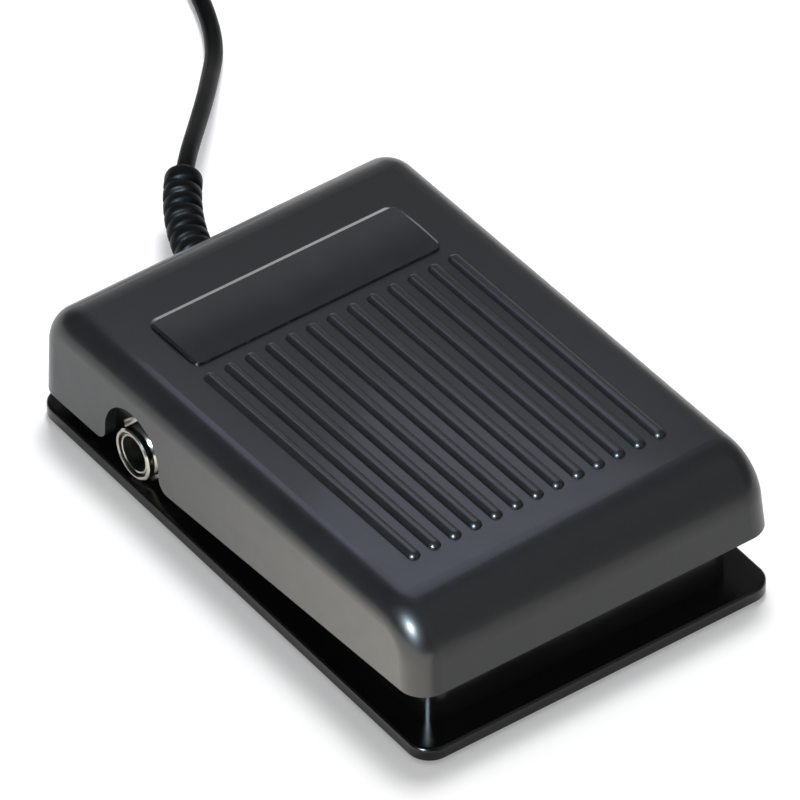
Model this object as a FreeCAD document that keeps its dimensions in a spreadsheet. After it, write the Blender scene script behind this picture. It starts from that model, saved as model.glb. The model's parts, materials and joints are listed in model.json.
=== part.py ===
import FreeCAD, Part
import math
import os
import Sketcher

# Foot pedal switch: a ribbed treadle hinged at the back of a flat tray, lifted by two
# springs, with a lever switch under it, a phone jack in the left wall and a cord.
# +X is to the right, -Y is the free end that the foot presses, +Z is up. The origin is
# at the middle of the footprint, on the surface that the rubber feet stand on.

doc = FreeCAD.newDocument("foot_pedal_switch")
sheet = doc.addObject("Spreadsheet::Sheet", "Sizes")

SIZES = [
    ("base_width", 72.6, "base plate across"),
    ("base_length", 110.1, "base plate front to back"),
    ("base_corner", 4.2, "corner radius of the base plate"),
    ("plate_thick", 2.4, "base plate"),
    ("plate_round", 0.6, "round along the plate's top edge"),
    ("foot_stand", 1.0, "how far the feet stand below the plate"),
    ("foot_radius", 5.0, "rubber foot"),
    ("foot_sunk", 0.6, "depth of the foot's pocket"),
    ("foot_inset_side", 9.0, "foot centre in from the plate's side"),
    ("foot_inset_end", 10.0, "foot centre in from the plate's end"),
    ("tub_inset", 5.0, "tub's side in from the plate's side"),
    ("tub_front", 49.6, "tub's front face ahead of the middle"),
    ("tub_rear", 50.4, "tub's rear face behind the middle"),
    ("tub_height", 13.0, "tub wall above the plate"),
    ("tub_wall", 2.0, "tub wall thickness"),
    ("tub_corner", 3.6, "tub's outer corner radius"),
    ("cover_overhang", 0.5, "treadle's skirt out past the plate's side"),
    ("cover_front", 54.3, "treadle's front skirt ahead of the middle"),
    ("cover_rear", 54.5, "treadle's rear skirt behind the middle"),
    ("cover_gap", 3.35, "skirt above the plate when pressed"),
    ("cover_height", 17.35, "treadle's top above its skirt, at the middle"),
    ("cover_wall", 2.2, "treadle's wall"),
    ("cover_round", 5.0, "round of the treadle's edges"),
    ("nose_radius", 9.8, "roll-over from the top to the front wall"),
    ("heel_radius", 8.3, "roll-over from the top to the rear wall"),
    ("top_slope", 2.45, "degrees that the top falls to the front"),
    ("side_draft", 2.0, "degrees of draft on the side walls"),
    ("front_draft", 3.0, "degrees of draft on the front wall"),
    ("rear_draft", 4.0, "degrees of draft on the rear wall"),
    ("relief_start", 17.0, "where the skirt starts to rise to the rear"),
    ("relief_slope", 2.45, "degrees that the skirt rises there"),
    ("rest_tilt", 4.6, "degrees that the springs lift the treadle"),
    ("hinge_back", 44.0, "hinge line behind the middle"),
    ("hinge_lift", 7.1, "hinge line above the plate"),
    ("pin_radius", 1.5, "hinge pin"),
    ("running_gap", 0.05, "clearance round a turning pin"),
    ("pin_head_radius", 2.6, "hinge pin's head"),
    ("pin_head_thick", 0.9, "hinge pin's head"),
    ("pin_end", 1.6, "pin past the lug, with the clip's groove"),
    ("pin_groove_radius", 1.15, "bottom of the groove for the clip"),
    ("clip_radius", 2.9, "retaining clip"),
    ("clip_thick", 0.6, "retaining clip"),
    ("clip_gap", 0.1, "retaining clip to the lug"),
    ("clip_mouth", 0.9, "half of the clip's opening"),
    ("lug_thick", 2.5, "hinge lug of the treadle"),
    ("lug_radius", 3.4, "hinge lug's rounded end"),
    ("lug_web_back", 1.8, "hinge lug's web behind the hinge line"),
    ("boss_radius", 4.0, "hinge boss outside the tub's wall"),
    ("lug_gap", 0.4, "lug to the tub's wall"),
    ("boss_thick", 1.0, "hinge boss outside the tub's wall"),
    ("rib_count", 13, "tread ribs"),
    ("rib_pitch", 4.2, "one tread rib to the next"),
    ("rib_width", 2.4, "tread rib across"),
    ("rib_height", 0.9, "tread rib above the top"),
    ("rib_front", 38.2, "rib's front end ahead of the middle"),
    ("rib_rear", 18.8, "rib's rear end behind the middle"),
    ("badge_width", 50.8, "badge plate across"),
    ("badge_length", 14.3, "badge plate front to back"),
    ("badge_back", 29.6, "badge plate's middle behind the middle"),
    ("badge_corner", 2.0, "badge plate's corner radius"),
    ("badge_thick", 0.95, "badge plate at its ends"),
    ("badge_crown", 0.3, "rise of the badge plate's middle"),
    ("badge_sunk", 0.75, "depth of the badge's seat"),
    ("badge_gap", 0.12, "badge plate to the edge of its seat"),
    ("arch_radius", 7.7, "arch in the left wall round the jack"),
    ("arch_back", 26.85, "arch's middle behind the middle, pressed flat"),
    ("arch_lift", 7.03, "arch's centre above the plate, pressed flat"),
    ("arch_flare", 2.4, "flare of the arch's lower corners"),
    ("jack_back", 26.9, "jack's axis behind the middle"),
    ("jack_lift", 7.3, "jack's axis above the plate"),
    ("jack_bore", 3.25, "radius of the jack's bore"),
    ("bushing_radius", 4.75, "jack's bushing"),
    ("bushing_reach", 5.3, "bushing outside the tub's wall"),
    ("bushing_gap", 0.1, "bushing to the hole in the wall"),
    ("bushing_mouth", 0.6, "countersink of the bushing's mouth"),
    ("washer_radius", 6.4, "jack's washer"),
    ("washer_thick", 0.6, "jack's washer"),
    ("nut_flats", 11.4, "jack's nut across its flats"),
    ("nut_thick", 2.0, "jack's nut"),
    ("jack_body_length", 25.8, "jack's housing inside the tub"),
    ("jack_body_width", 14.0, "jack's housing front to back"),
    ("jack_body_height", 12.6, "jack's housing"),
    ("jack_end_wall", 1.5, "jack's housing past the end of the bore"),
    ("lug_reach", 3.3, "solder lug out of the jack's housing"),
    ("lug_spread", 4.0, "solder lug beside the jack's axis"),
    ("tab_width", 1.6, "solder lug or switch terminal across"),
    ("tab_thick", 0.5, "solder lug or switch terminal"),
    ("boot_radius", 3.6, "strain relief at the wall"),
    ("boot_tip_radius", 3.3, "strain relief at its tip"),
    ("boot_neck_radius", 2.9, "strain relief inside the wall's slot"),
    ("boot_flange", 4.3, "strain relief's inner flange"),
    ("boot_rib_pitch", 2.8, "one boot rib to the next"),
    ("boot_groove", 0.5, "depth of the boot's grooves"),
    ("boot_flange_thick", 1.8, "strain relief's inner flange"),
    ("boot_straight", 2.0, "boot outside the wall before its curve"),
    ("boot_chamfer", 1.5, "chamfer of the boot's tip"),
    ("boot_bend", 40.0, "radius of the boot's curve"),
    ("boot_turn", 48.0, "degrees that the boot has turned at its tip"),
    ("boot_drop", 1.0, "fall of the boot's tip"),
    ("cord_lift", 6.6, "cord's exit above the plate"),
    ("cord_radius", 1.6, "cord"),
    ("cord_rest", 0.05, "cord above the floor"),
    ("tail_gap", 2.1, "end of the cord's jacket inside to the jack's housing"),
    ("notch_radius", 5.0, "notch in the rear wall round the boot"),
    ("notch_lift", 7.0, "notch's centre above the plate, pressed flat"),
    ("spring_side", 19.0, "spring beside the middle"),
    ("spring_front", 30.0, "spring ahead of the middle"),
    ("spring_radius", 4.0, "spring's mean radius"),
    ("spring_wire", 0.45, "radius of the spring's wire"),
    ("spring_turns", 6.0, "turns of a spring"),
    ("spring_seat", 1.0, "seat under the spring"),
    ("spring_height", 11.7, "spring at rest"),
    ("spring_slack", 0.45, "spring to the middle of the post above it"),
    ("peg_radius", 2.9, "peg inside a spring"),
    ("peg_height", 2.5, "peg inside a spring"),
    ("bumper_side", 19.0, "stop bumper beside the middle"),
    ("bumper_front", 43.5, "stop bumper ahead of the middle"),
    ("bumper_radius", 3.4, "stop bumper"),
    ("bumper_height", 4.0, "stop bumper"),
    ("hook_side", 8.0, "stop hook beside the middle"),
    ("hook_width", 7.0, "stop hook across"),
    ("hook_front", 44.9, "stop hook's leg ahead of the middle"),
    ("hook_thick", 2.0, "stop hook's leg"),
    ("hook_reach", 2.1, "nose of a stop hook"),
    ("nose_thick", 1.5, "nose of a stop hook"),
    ("ledge_drop", 0.4, "ledge below the tub's rim"),
    ("ledge_thick", 1.8, "ledge that a hook catches"),
    ("ledge_reach", 2.2, "ledge out from the tub's wall"),
    ("stop_gap", 0.15, "rest clearance of hooks and posts"),
    ("case_length", 12.8, "switch case front to back"),
    ("case_height", 6.5, "switch case"),
    ("case_width", 5.8, "switch case across"),
    ("case_lift", 4.0, "switch case above the plate"),
    ("case_front", 7.0, "switch case's front face ahead of the middle"),
    ("screw_spacing", 6.5, "switch screws, front to back"),
    ("screw_rise", 2.0, "switch screws above the case's underside"),
    ("screw_radius", 1.0, "switch screw or clamp screw"),
    ("screw_head", 1.9, "screw's head"),
    ("head_thick", 1.2, "screw's head"),
    ("screw_gap", 0.1, "screw to the hole that it passes through"),
    ("bracket_thick", 2.4, "bracket beside the switch"),
    ("lever_inset", 1.0, "lever's pivot behind the case's front face"),
    ("lever_rise", 1.05, "lever's pivot above the case"),
    ("pivot_radius", 0.35, "lever's pivot"),
    ("lever_length", 15.6, "lever from its pivot to its tip"),
    ("lever_width", 3.4, "lever across"),
    ("lever_thick", 0.5, "lever's sheet"),
    ("lever_arm", 14.0, "pivot to where the treadle presses"),
    ("lever_end", 0.8, "degrees that the lever still rises when pressed"),
    ("plunger_arm", 3.2, "lever's pivot to the plunger"),
    ("plunger_radius", 0.9, "switch plunger"),
    ("plunger_sunk", 1.5, "plunger below the middle of its rounded end"),
    ("plunger_gap", 0.06, "plunger to the lever"),
    ("tip_radius", 1.5, "rounded end of the treadle's finger"),
    ("touch_gap", 0.08, "treadle's finger to the lever"),
    ("tab_pitch", 5.0, "one switch terminal to the next"),
    ("tab_drop", 3.2, "switch terminal below the case"),
    ("clamp_back", 41.0, "cord clamp behind the middle"),
    ("clamp_side", 7.5, "clamp screws beside the middle"),
    ("clamp_length", 21.0, "clamp bar across"),
    ("clamp_screw_depth", 5.5, "clamp screw in its post"),
    ("clamp_thick", 2.0, "clamp bar"),
    ("clamp_width", 5.0, "clamp bar front to back"),
    ("wire_radius", 0.5, "insulated wire"),
    ("coil_outer", 25.2, "largest turn of the coil"),
    ("coil_step", 1.9, "change of radius in half a turn"),
    ("coil_layer", 3.75, "one layer of the coil to the next"),
    ("coil_ease", 0.5, "extra step where the spiral reverses"),
    ("coil_x", 40.0, "coil's centre"),
    ("coil_y", 174.0, "coil's centre"),
    ("coil_start", -25.0, "degrees, where the cord joins the coil"),
    ("coil_half_turns", 26, "half turns of the coil"),
    ("coil_layer_turns", 7, "half turns to a layer"),
    ("handle_radius", 5.6, "phone plug's handle"),
    ("handle_length", 22.0, "phone plug's handle"),
    ("handle_tail", 9.0, "taper at the cord end of the handle"),
    ("plug_radius", 3.175, "phone plug's shank"),
    ("plug_sleeve_length", 21.0, "sleeve contact"),
    ("plug_ring_length", 1.2, "insulating ring"),
    ("plug_tip_length", 9.0, "tip contact"),
    ("plug_tip_radius", 2.9, "tip contact"),
    ("plug_waist", 2.3, "radius behind the plug's tip"),
]

for row, (alias, number, meaning) in enumerate(SIZES, start=1):
    sheet.set(f"A{row}", meaning)
    sheet.set(f"B{row}", str(number))
    sheet.setAlias(f"B{row}", alias)
doc.recompute()


class Size:
    """A length or an angle: its number now, and the expression that it follows."""

    def __init__(self, text, number):
        self.text = text
        self.number = number

    def __float__(self):
        return float(self.number)

    def __neg__(self):
        return Size(f"(-{self.text})", -self.number)

    def __add__(self, other):
        other = as_size(other)
        return Size(f"({self.text} + {other.text})", self.number + other.number)

    def __sub__(self, other):
        other = as_size(other)
        return Size(f"({self.text} - {other.text})", self.number - other.number)

    def __mul__(self, other):
        other = as_size(other)
        return Size(f"({self.text} * {other.text})", self.number * other.number)

    def __truediv__(self, other):
        other = as_size(other)
        return Size(f"({self.text} / {other.text})", self.number / other.number)

    __radd__ = __add__
    __rmul__ = __mul__


def as_size(value):
    if isinstance(value, Size):
        return value
    return Size(repr(float(value)), float(value))


def sine(degrees):
    return Size(f"sin({degrees.text} * 1 deg)", math.sin(math.radians(float(degrees))))


def cosine(degrees):
    return Size(f"cos({degrees.text} * 1 deg)", math.cos(math.radians(float(degrees))))


def tangent(degrees):
    return Size(f"tan({degrees.text} * 1 deg)", math.tan(math.radians(float(degrees))))


def arc_sine(ratio):
    number = math.degrees(math.asin(float(ratio)))
    return Size(f"(asin({ratio.text}) / 1 deg)", number)


def heading(along, up):
    """Degrees from level of a line that goes so far along and up."""
    number = math.degrees(math.atan2(float(up), float(along)))
    return Size(f"(atan({up.text} / {along.text}) / 1 deg)", number)


def diagonal(along, up):
    number = math.hypot(float(along), float(up))
    return Size(f"sqrt({along.text} ^ 2 + {up.text} ^ 2)", number)


size = {alias: Size(f"Sizes.{alias}", float(sheet.get(alias))) for alias, *_ in SIZES}


def bind(thing, name, value):
    """Set a property of a document object, or one part of it, from a size."""
    thing.setExpression(name, as_size(value).text)


# Levels that several pieces share

plate_top = size["foot_stand"] + size["plate_thick"]
tub_top = plate_top + size["tub_height"]
tub_side = size["base_width"] / 2 - size["tub_inset"]
tub_inside = tub_side - size["tub_wall"]
hinge_y = size["hinge_back"]
hinge_z = plate_top + size["hinge_lift"]
skirt_z = plate_top + size["cover_gap"]
top_z = skirt_z + size["cover_height"]
cover_side = size["base_width"] / 2 + size["cover_overhang"]
jack_z = plate_top + size["jack_lift"]
cord_z = plate_top + size["cord_lift"]
lug_outside = tub_inside - size["lug_gap"]
case_bottom = plate_top + size["case_lift"]
case_top = case_bottom + size["case_height"]
pivot_y = size["lever_inset"] - size["case_front"]
pivot_z = case_top + size["lever_rise"]
jack_inner_end = size["jack_body_length"] - tub_inside
tail_end = size["jack_back"] + size["jack_body_width"] / 2 + size["tail_gap"]
bore_end = jack_inner_end - size["jack_end_wall"]
bushing_face = -tub_side - size["bushing_reach"]
clamp_z = cord_z + size["cord_radius"]
floor_z = size["cord_radius"] + size["cord_rest"]


def top_at(y):
    """Height of the pressed treadle's sloping top."""
    return top_z + y * tangent(size["top_slope"])


def ceiling_at(y):
    """Height of the middle of the treadle's top wall, where posts are rooted."""
    return top_at(y) - size["cover_wall"] * 0.6


# Features


def new_body(label):
    body = doc.addObject("PartDesign::Body", label)
    body.Label = label
    return body


def new_sketch(body, name, plane, away=0.0, across=0.0, up=0.0, tip=0.0):
    """A sketch on one of the body's own origin planes, moved along the plane's normal,
    across and up it, and tipped by some degrees about its across axis."""
    sketch = body.newObject("Sketcher::SketchObject", name)
    planes = [f for f in body.Origin.OriginFeatures if f.Role == plane]
    sketch.AttachmentSupport = [(planes[0], "")]
    sketch.MapMode = "FlatFace"
    place = "; ".join(as_size(value).text for value in (across, up, away))
    turn = f"rotation(vector(1; 0; 0); {as_size(tip).text})"
    sketch.setExpression("AttachmentOffset", f"placement(vector({place}); {turn})")
    return sketch


def hold(sketch, kind, geometry, point, value):
    """A distance from the sketch's origin that follows a size."""
    value = as_size(value)
    index = sketch.addConstraint(
        Sketcher.Constraint(kind, -1, 1, geometry, point, value.number)
    )
    sketch.setExpression(f"Constraints[{index}]", value.text)


def outline(sketch, corners):
    """A closed outline of straight lines through corners given as across, up."""
    first = sketch.GeometryCount
    points = [FreeCAD.Vector(float(a), float(b), 0) for a, b in corners]
    for start, end in zip(points, points[1:] + points[:1]):
        sketch.addGeometry(Part.LineSegment(start, end), False)
    for i, (across, up) in enumerate(corners):
        following = first + (i + 1) % len(corners)
        sketch.addConstraint(
            Sketcher.Constraint("Coincident", first + i, 2, following, 1)
        )
        hold(sketch, "DistanceX", first + i, 1, across)
        hold(sketch, "DistanceY", first + i, 1, up)


def box_outline(sketch, low_across, low_up, high_across, high_up):
    outline(
        sketch,
        [
            (low_across, low_up),
            (high_across, low_up),
            (high_across, high_up),
            (low_across, high_up),
        ],
    )


def join(sketch, first, first_end, second, second_end):
    sketch.addConstraint(
        Sketcher.Constraint("Coincident", first, first_end, second, second_end)
    )


def arc(sketch, across, up, radius, start, end):
    """An arc about a held centre, between two angles given in degrees."""
    across, up, radius = as_size(across), as_size(up), as_size(radius)
    centre = FreeCAD.Vector(across.number, up.number, 0)
    whole = Part.Circle(centre, FreeCAD.Vector(0, 0, 1), radius.number)
    piece = Part.ArcOfCircle(whole, math.radians(start), math.radians(end))
    number = sketch.addGeometry(piece, False)
    hold(sketch, "DistanceX", number, 3, across)
    hold(sketch, "DistanceY", number, 3, up)
    return number


def hold_radius(sketch, number, radius):
    index = sketch.addConstraint(Sketcher.Constraint("Radius", number, float(radius)))
    sketch.setExpression(f"Constraints[{index}]", as_size(radius).text)


def circle(sketch, across, up, radius):
    across, up, radius = as_size(across), as_size(up), as_size(radius)
    centre = FreeCAD.Vector(across.number, up.number, 0)
    number = sketch.addGeometry(
        Part.Circle(centre, FreeCAD.Vector(0, 0, 1), radius.number), False
    )
    hold(sketch, "DistanceX", number, 3, across)
    hold(sketch, "DistanceY", number, 3, up)
    hold_radius(sketch, number, radius)


def feature(body, kind, name, profile, length, backwards=False, both=False):
    """A pad or pocket of a sketch. A pocket goes against the sketch's normal."""
    made = body.newObject(f"PartDesign::{kind}", name)
    made.Profile = profile
    made.SideType = "Symmetric" if both else "One side"
    made.Reversed = backwards
    bind(made, "Length", length)
    doc.recompute()
    return made


def pad(body, name, profile, length, backwards=False, both=False):
    return feature(body, "Pad", name, profile, length, backwards, both)


def pocket(body, name, profile, length, backwards=False, both=False):
    before = body.Shape.Volume
    made = feature(body, "Pocket", name, profile, length, backwards, both)
    if not made.Shape.Volume < before - 1e-6:
        raise RuntimeError(f"{name} cuts nothing")
    return made


def edges_where(made, test):
    """Names of a feature's edges that pass a test."""
    edges = enumerate(made.Shape.Edges, start=1)
    return [f"Edge{i}" for i, edge in edges if test(edge)]


def faces_where(made, test):
    faces = enumerate(made.Shape.Faces, start=1)
    return [f"Face{i}" for i, face in faces if test(face)]


def fillet(body, name, base, names, radius):
    made = body.newObject("PartDesign::Fillet", name)
    made.Base = (base, names)
    bind(made, "Radius", radius)
    doc.recompute()
    return made


def middle_of(edge):
    return edge.valueAt((edge.FirstParameter + edge.LastParameter) / 2)


def is_upright(edge):
    start, end = edge.Vertexes[0].Point, edge.Vertexes[-1].Point
    flat = math.hypot(end.x - start.x, end.y - start.y)
    return flat < 0.2 * abs(end.z - start.z)


def block(body, name, low, high, cut=False):
    """A straight block between two corners, added to a body or cut from it."""
    profile = new_sketch(body, f"{name}_outline", "XY_Plane", low[2])
    box_outline(profile, low[0], low[1], high[0], high[1])
    height = as_size(high[2]) - as_size(low[2])
    if cut:
        return pocket(body, name, profile, height, backwards=True)
    return pad(body, name, profile, height)


def stud(body, name, x, y, radius, low, high, cut=False):
    """An upright round post between two heights, added to a body or cut from it."""
    profile = new_sketch(body, f"{name}_circle", "XY_Plane", low)
    circle(profile, x, y, radius)
    height = as_size(high) - as_size(low)
    if cut:
        return pocket(body, name, profile, height, backwards=True)
    return pad(body, name, profile, height)


def tilt_with_treadle(thing):
    """Turn a piece that is drawn pressed flat up to where the springs hold it."""
    thing.setExpression(
        "Placement",
        f"placement(vector(0; 0; 0); rotation(vector(1; 0; 0); -Sizes.rest_tilt);"
        f" vector(0; {hinge_y.text}; {hinge_z.text}))",
    )


# Base tray: plate, tub, bosses and seats in one moulding


def make_base_tray():
    body = new_body("base_tray")
    half_width, half_length = size["base_width"] / 2, size["base_length"] / 2
    bottom = size["foot_stand"]
    plate = block(
        body,
        "plate",
        (-half_width, -half_length, bottom),
        (half_width, half_length, plate_top),
    )
    corners = fillet(
        body, "plate_corners", plate, edges_where(plate, is_upright), size["base_corner"]
    )
    rim = edges_where(
        corners, lambda e: abs(e.BoundBox.ZMin - float(plate_top)) < 0.01
    )
    fillet(body, "plate_rim", corners, rim, size["plate_round"])

    front, rear = -size["tub_front"], size["tub_rear"]
    wall = size["tub_wall"]
    tub = block(
        body,
        "tub",
        (-tub_side, front, size["foot_stand"] + size["plate_thick"] / 2),
        (tub_side, rear, tub_top),
    )
    tall = edges_where(
        tub, lambda e: is_upright(e) and e.BoundBox.ZMax > float(tub_top) - 0.01
    )
    fillet(body, "tub_corners", tub, tall, size["tub_corner"])
    hollow = block(
        body,
        "tub_hollow",
        (-tub_inside, front + wall, plate_top),
        (tub_inside, rear - wall, tub_top + 1),
        cut=True,
    )
    inner = edges_where(
        hollow,
        lambda e: is_upright(e)
        and abs(abs(middle_of(e).x) - float(tub_inside)) < 0.01
        and e.BoundBox.ZMin < float(plate_top) + 0.01,
    )
    fillet(body, "hollow_corners", hollow, inner, size["tub_corner"] - wall)

    slot = size["boot_neck_radius"]
    profile = new_sketch(body, "cord_slot_outline", "XZ_Plane", -rear - 1)
    box_outline(profile, -slot, cord_z, slot, tub_top + 1)
    pocket(body, "cord_slot", profile, wall + 2, backwards=True)
    profile = new_sketch(body, "cord_seat_circle", "XZ_Plane", -rear - 1)
    circle(profile, 0, cord_z, slot)
    pocket(body, "cord_seat", profile, wall + 2, backwards=True)

    profile = new_sketch(body, "jack_hole_circle", "YZ_Plane", -tub_side - 1)
    hole_radius = size["bushing_radius"] + size["bushing_gap"]
    circle(profile, size["jack_back"], jack_z, hole_radius)
    pocket(body, "jack_hole", profile, wall + 2, backwards=True)

    boss = new_sketch(body, "hinge_boss_circle", "YZ_Plane", tub_side - 0.5)
    circle(boss, hinge_y, hinge_z, size["boss_radius"])
    boss_pad = pad(body, "hinge_boss", boss, size["boss_thick"] + 0.5)
    hole = new_sketch(body, "hinge_hole_circle", "YZ_Plane", tub_inside - 1)
    circle(hole, hinge_y, hinge_z, size["pin_radius"])
    bored = pocket(
        body, "hinge_hole", hole, wall + size["boss_thick"] + 2, backwards=True
    )

    side, ahead = size["spring_side"], -size["spring_front"]
    seat_top = plate_top + size["spring_seat"]
    seat = stud(
        body, "spring_seat", side, ahead, size["spring_radius"] + 1.2, bottom + 1, seat_top
    )
    peg = stud(
        body,
        "spring_peg",
        side,
        ahead,
        size["peg_radius"],
        bottom + 1,
        seat_top + size["peg_height"],
    )
    side, ahead = size["bumper_side"], -size["bumper_front"]
    ring = stud(
        body,
        "bumper_ring",
        side,
        ahead,
        size["bumper_radius"] + 1.2,
        bottom + 1,
        plate_top + size["bumper_height"] * 0.35,
    )
    well = stud(
        body, "bumper_well", side, ahead, size["bumper_radius"], plate_top, tub_top, cut=True
    )
    side, half = size["hook_side"], size["hook_width"] / 2 + 1
    inside = front + wall
    ledge_top = tub_top - size["ledge_drop"]
    ledge = block(
        body,
        "hook_ledge",
        (side - half, inside - 1, ledge_top - size["ledge_thick"]),
        (side + half, inside + size["ledge_reach"], ledge_top),
    )
    post = stud(
        body,
        "clamp_post",
        size["clamp_side"],
        size["clamp_back"],
        size["clamp_width"] / 2,
        bottom + 1,
        cord_z + size["cord_radius"],
    )
    pilot = stud(
        body,
        "clamp_pilot",
        size["clamp_side"],
        size["clamp_back"],
        size["screw_radius"],
        cord_z + size["cord_radius"] - size["clamp_screw_depth"],
        cord_z + size["cord_radius"] + 1,
        cut=True,
    )
    foot_hole = stud(
        body,
        "foot_pocket_rear",
        half_width - size["foot_inset_side"],
        half_length - size["foot_inset_end"],
        size["foot_radius"] + 0.15,
        0,
        bottom + size["foot_sunk"],
        cut=True,
    )
    foot_hole_front = stud(
        body,
        "foot_pocket_front",
        half_width - size["foot_inset_side"],
        size["foot_inset_end"] - half_length,
        size["foot_radius"] + 0.15,
        0,
        bottom + size["foot_sunk"],
        cut=True,
    )
    mirror = body.newObject("PartDesign::Mirrored", "left_side")
    mirror.Originals = [
        boss_pad,
        bored,
        seat,
        peg,
        ring,
        well,
        ledge,
        post,
        pilot,
        foot_hole,
        foot_hole_front,
    ]
    mirror.MirrorPlane = (side_plane(body), [""])
    body.Tip = mirror
    doc.recompute()

    saddle = size["cord_radius"] + 2.4
    back, deep = size["clamp_back"], size["clamp_width"] / 2
    block(
        body,
        "cord_saddle",
        (-saddle, back - deep, bottom + 1),
        (saddle, back + deep, cord_z - size["cord_radius"]),
    )
    near = size["case_width"] / 2
    start = -size["case_front"] - 1
    bracket_top = case_top - 0.5
    block(
        body,
        "switch_bracket",
        (near, start, bottom + 1),
        (near + size["bracket_thick"], start + size["case_length"] + 2, bracket_top),
    )
    holes = new_sketch(body, "bracket_holes", "YZ_Plane", near - 1)
    for y in switch_screw_places():
        circle(holes, y, switch_screw_z(), size["screw_radius"])
    pocket(body, "screw_holes", holes, as_size(5.0), backwards=True)
    return body


def side_plane(body):
    """The plane between the left side and the right side."""
    return [f for f in body.Origin.OriginFeatures if f.Role == "YZ_Plane"][0]


def switch_screw_places():
    middle = size["case_length"] / 2 - size["case_front"]
    half = size["screw_spacing"] / 2
    return [middle - half, middle + half]


def switch_screw_z():
    return case_bottom + size["screw_rise"]


# Treadle cover: a drafted shell with a roll-over, ribs, seats and inner posts


def cover_blank(body, inset):
    """The treadle's outer form pressed flat, or its hollow, one wall further in."""
    front, rear = inset - size["cover_front"], size["cover_rear"] - inset
    skirt = skirt_z - inset
    rear_skirt = skirt + (rear - size["relief_start"]) * tangent(size["relief_slope"])
    rear_top = rear - (top_at(rear) - rear_skirt) * tangent(size["rear_draft"])
    front_top = front + (top_at(front) - skirt) * tangent(size["front_draft"])
    profile = new_sketch(body, f"{body.Name}_profile", "YZ_Plane")
    outline(
        profile,
        [
            (front, skirt),
            (size["relief_start"], skirt),
            (rear, rear_skirt),
            (rear_top, top_at(rear_top) - inset),
            (front_top, top_at(front_top) - inset),
        ],
    )
    width = (cover_side - inset) * 2
    blank = pad(body, f"{body.Name}_blank", profile, width, both=True)
    level = faces_where(blank, lambda f: f.BoundBox.ZMax < float(skirt) + 0.01)
    drafted = body.newObject("PartDesign::Draft", f"{body.Name}_sides")
    drafted.Base = (blank, faces_where(blank, lambda f: f.BoundBox.XLength < 0.01))
    drafted.NeutralPlane = (blank, level)
    bind(drafted, "Angle", size["side_draft"])
    doc.recompute()
    drafted.touch()
    doc.recompute()
    if not drafted.Shape.Volume < blank.Shape.Volume:
        raise RuntimeError("the side walls lean outwards")

    def is_across(edge):
        return edge.BoundBox.YLength < 0.1 and edge.BoundBox.XLength > 10

    def is_rim(edge, y):
        return (
            is_across(edge)
            and abs(middle_of(edge).y - float(y)) < 1
            and middle_of(edge).z > float(skirt) + 5
        )

    nose = edges_where(drafted, lambda e: is_rim(e, front_top))
    rolled = fillet(
        body, f"{body.Name}_nose", drafted, nose, size["nose_radius"] - inset
    )
    heel = edges_where(rolled, lambda e: is_rim(e, rear_top))
    rolled = fillet(
        body, f"{body.Name}_heel", rolled, heel, size["heel_radius"] - inset
    )
    outer = edges_where(
        rolled,
        lambda e: e.BoundBox.ZMax > float(rear_skirt) + 1 and not is_across(e),
    )
    return fillet(
        body, f"{body.Name}_rounds", rolled, outer, size["cover_round"] - inset
    )


def add_ribs(body):
    """Rounded tread ribs: a rod with ball ends, sunk in the top, repeated across."""
    half = size["rib_width"] / 2
    rise = size["rib_height"]
    radius = (half * half + rise * rise) / (rise * 2)
    sunk = (radius - rise) / cosine(size["top_slope"])
    first = size["rib_pitch"] * (size["rib_count"] - 1) / -2
    profile = new_sketch(
        body, "rib_profile", "XY_Plane", top_z - sunk, across=first, tip=size["top_slope"]
    )
    front, rear = -size["rib_front"], size["rib_rear"]
    axis = profile.addGeometry(
        Part.LineSegment(
            FreeCAD.Vector(0, float(rear + radius), 0),
            FreeCAD.Vector(0, float(front - radius), 0),
        ),
        False,
    )
    near_end = arc(profile, 0, front, radius, 270, 360)
    side = profile.addGeometry(
        Part.LineSegment(
            FreeCAD.Vector(float(radius), float(front), 0),
            FreeCAD.Vector(float(radius), float(rear), 0),
        ),
        False,
    )
    far_end = arc(profile, 0, rear, radius, 0, 90)
    join(profile, axis, 2, near_end, 1)
    join(profile, near_end, 2, side, 1)
    join(profile, side, 2, far_end, 1)
    join(profile, far_end, 2, axis, 1)
    hold_radius(profile, near_end, radius)
    hold_radius(profile, far_end, radius)
    hold(profile, "DistanceX", near_end, 1, 0)
    hold(profile, "DistanceY", near_end, 2, front)
    hold(profile, "DistanceY", far_end, 1, rear)
    hold(profile, "DistanceX", far_end, 2, 0)
    rib = body.newObject("PartDesign::Revolution", "rib")
    rib.Profile = profile
    rib.ReferenceAxis = (profile, ["V_Axis"])
    rib.Angle = 360
    doc.recompute()
    ribs = body.newObject("PartDesign::LinearPattern", "ribs")
    ribs.Originals = [rib]
    ribs.Direction = (profile, ["H_Axis"])
    bind(ribs, "Length", size["rib_pitch"] * (size["rib_count"] - 1))
    bind(ribs, "Occurrences", size["rib_count"])
    body.Tip = ribs
    doc.recompute()


def cut_badge_seat(body):
    half_width = size["badge_width"] / 2 + size["badge_gap"]
    half_length = size["badge_length"] / 2 + size["badge_gap"]
    middle = size["badge_back"]
    seat = new_sketch(
        body, "badge_seat_outline", "XY_Plane", top_z, tip=size["top_slope"]
    )
    box_outline(seat, -half_width, middle - half_length, half_width, middle + half_length)
    cut = pocket(body, "badge_seat", seat, size["badge_sunk"])
    corners = edges_where(
        cut,
        lambda e: is_upright(e)
        and abs(abs(middle_of(e).x) - float(half_width)) < 0.1
        and abs(abs(middle_of(e).y - float(middle)) - float(half_length)) < 0.3
        and middle_of(e).z > float(top_z),
    )
    fillet(
        body, "badge_seat_corners", cut, corners, size["badge_corner"] + size["badge_gap"]
    )


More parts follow.
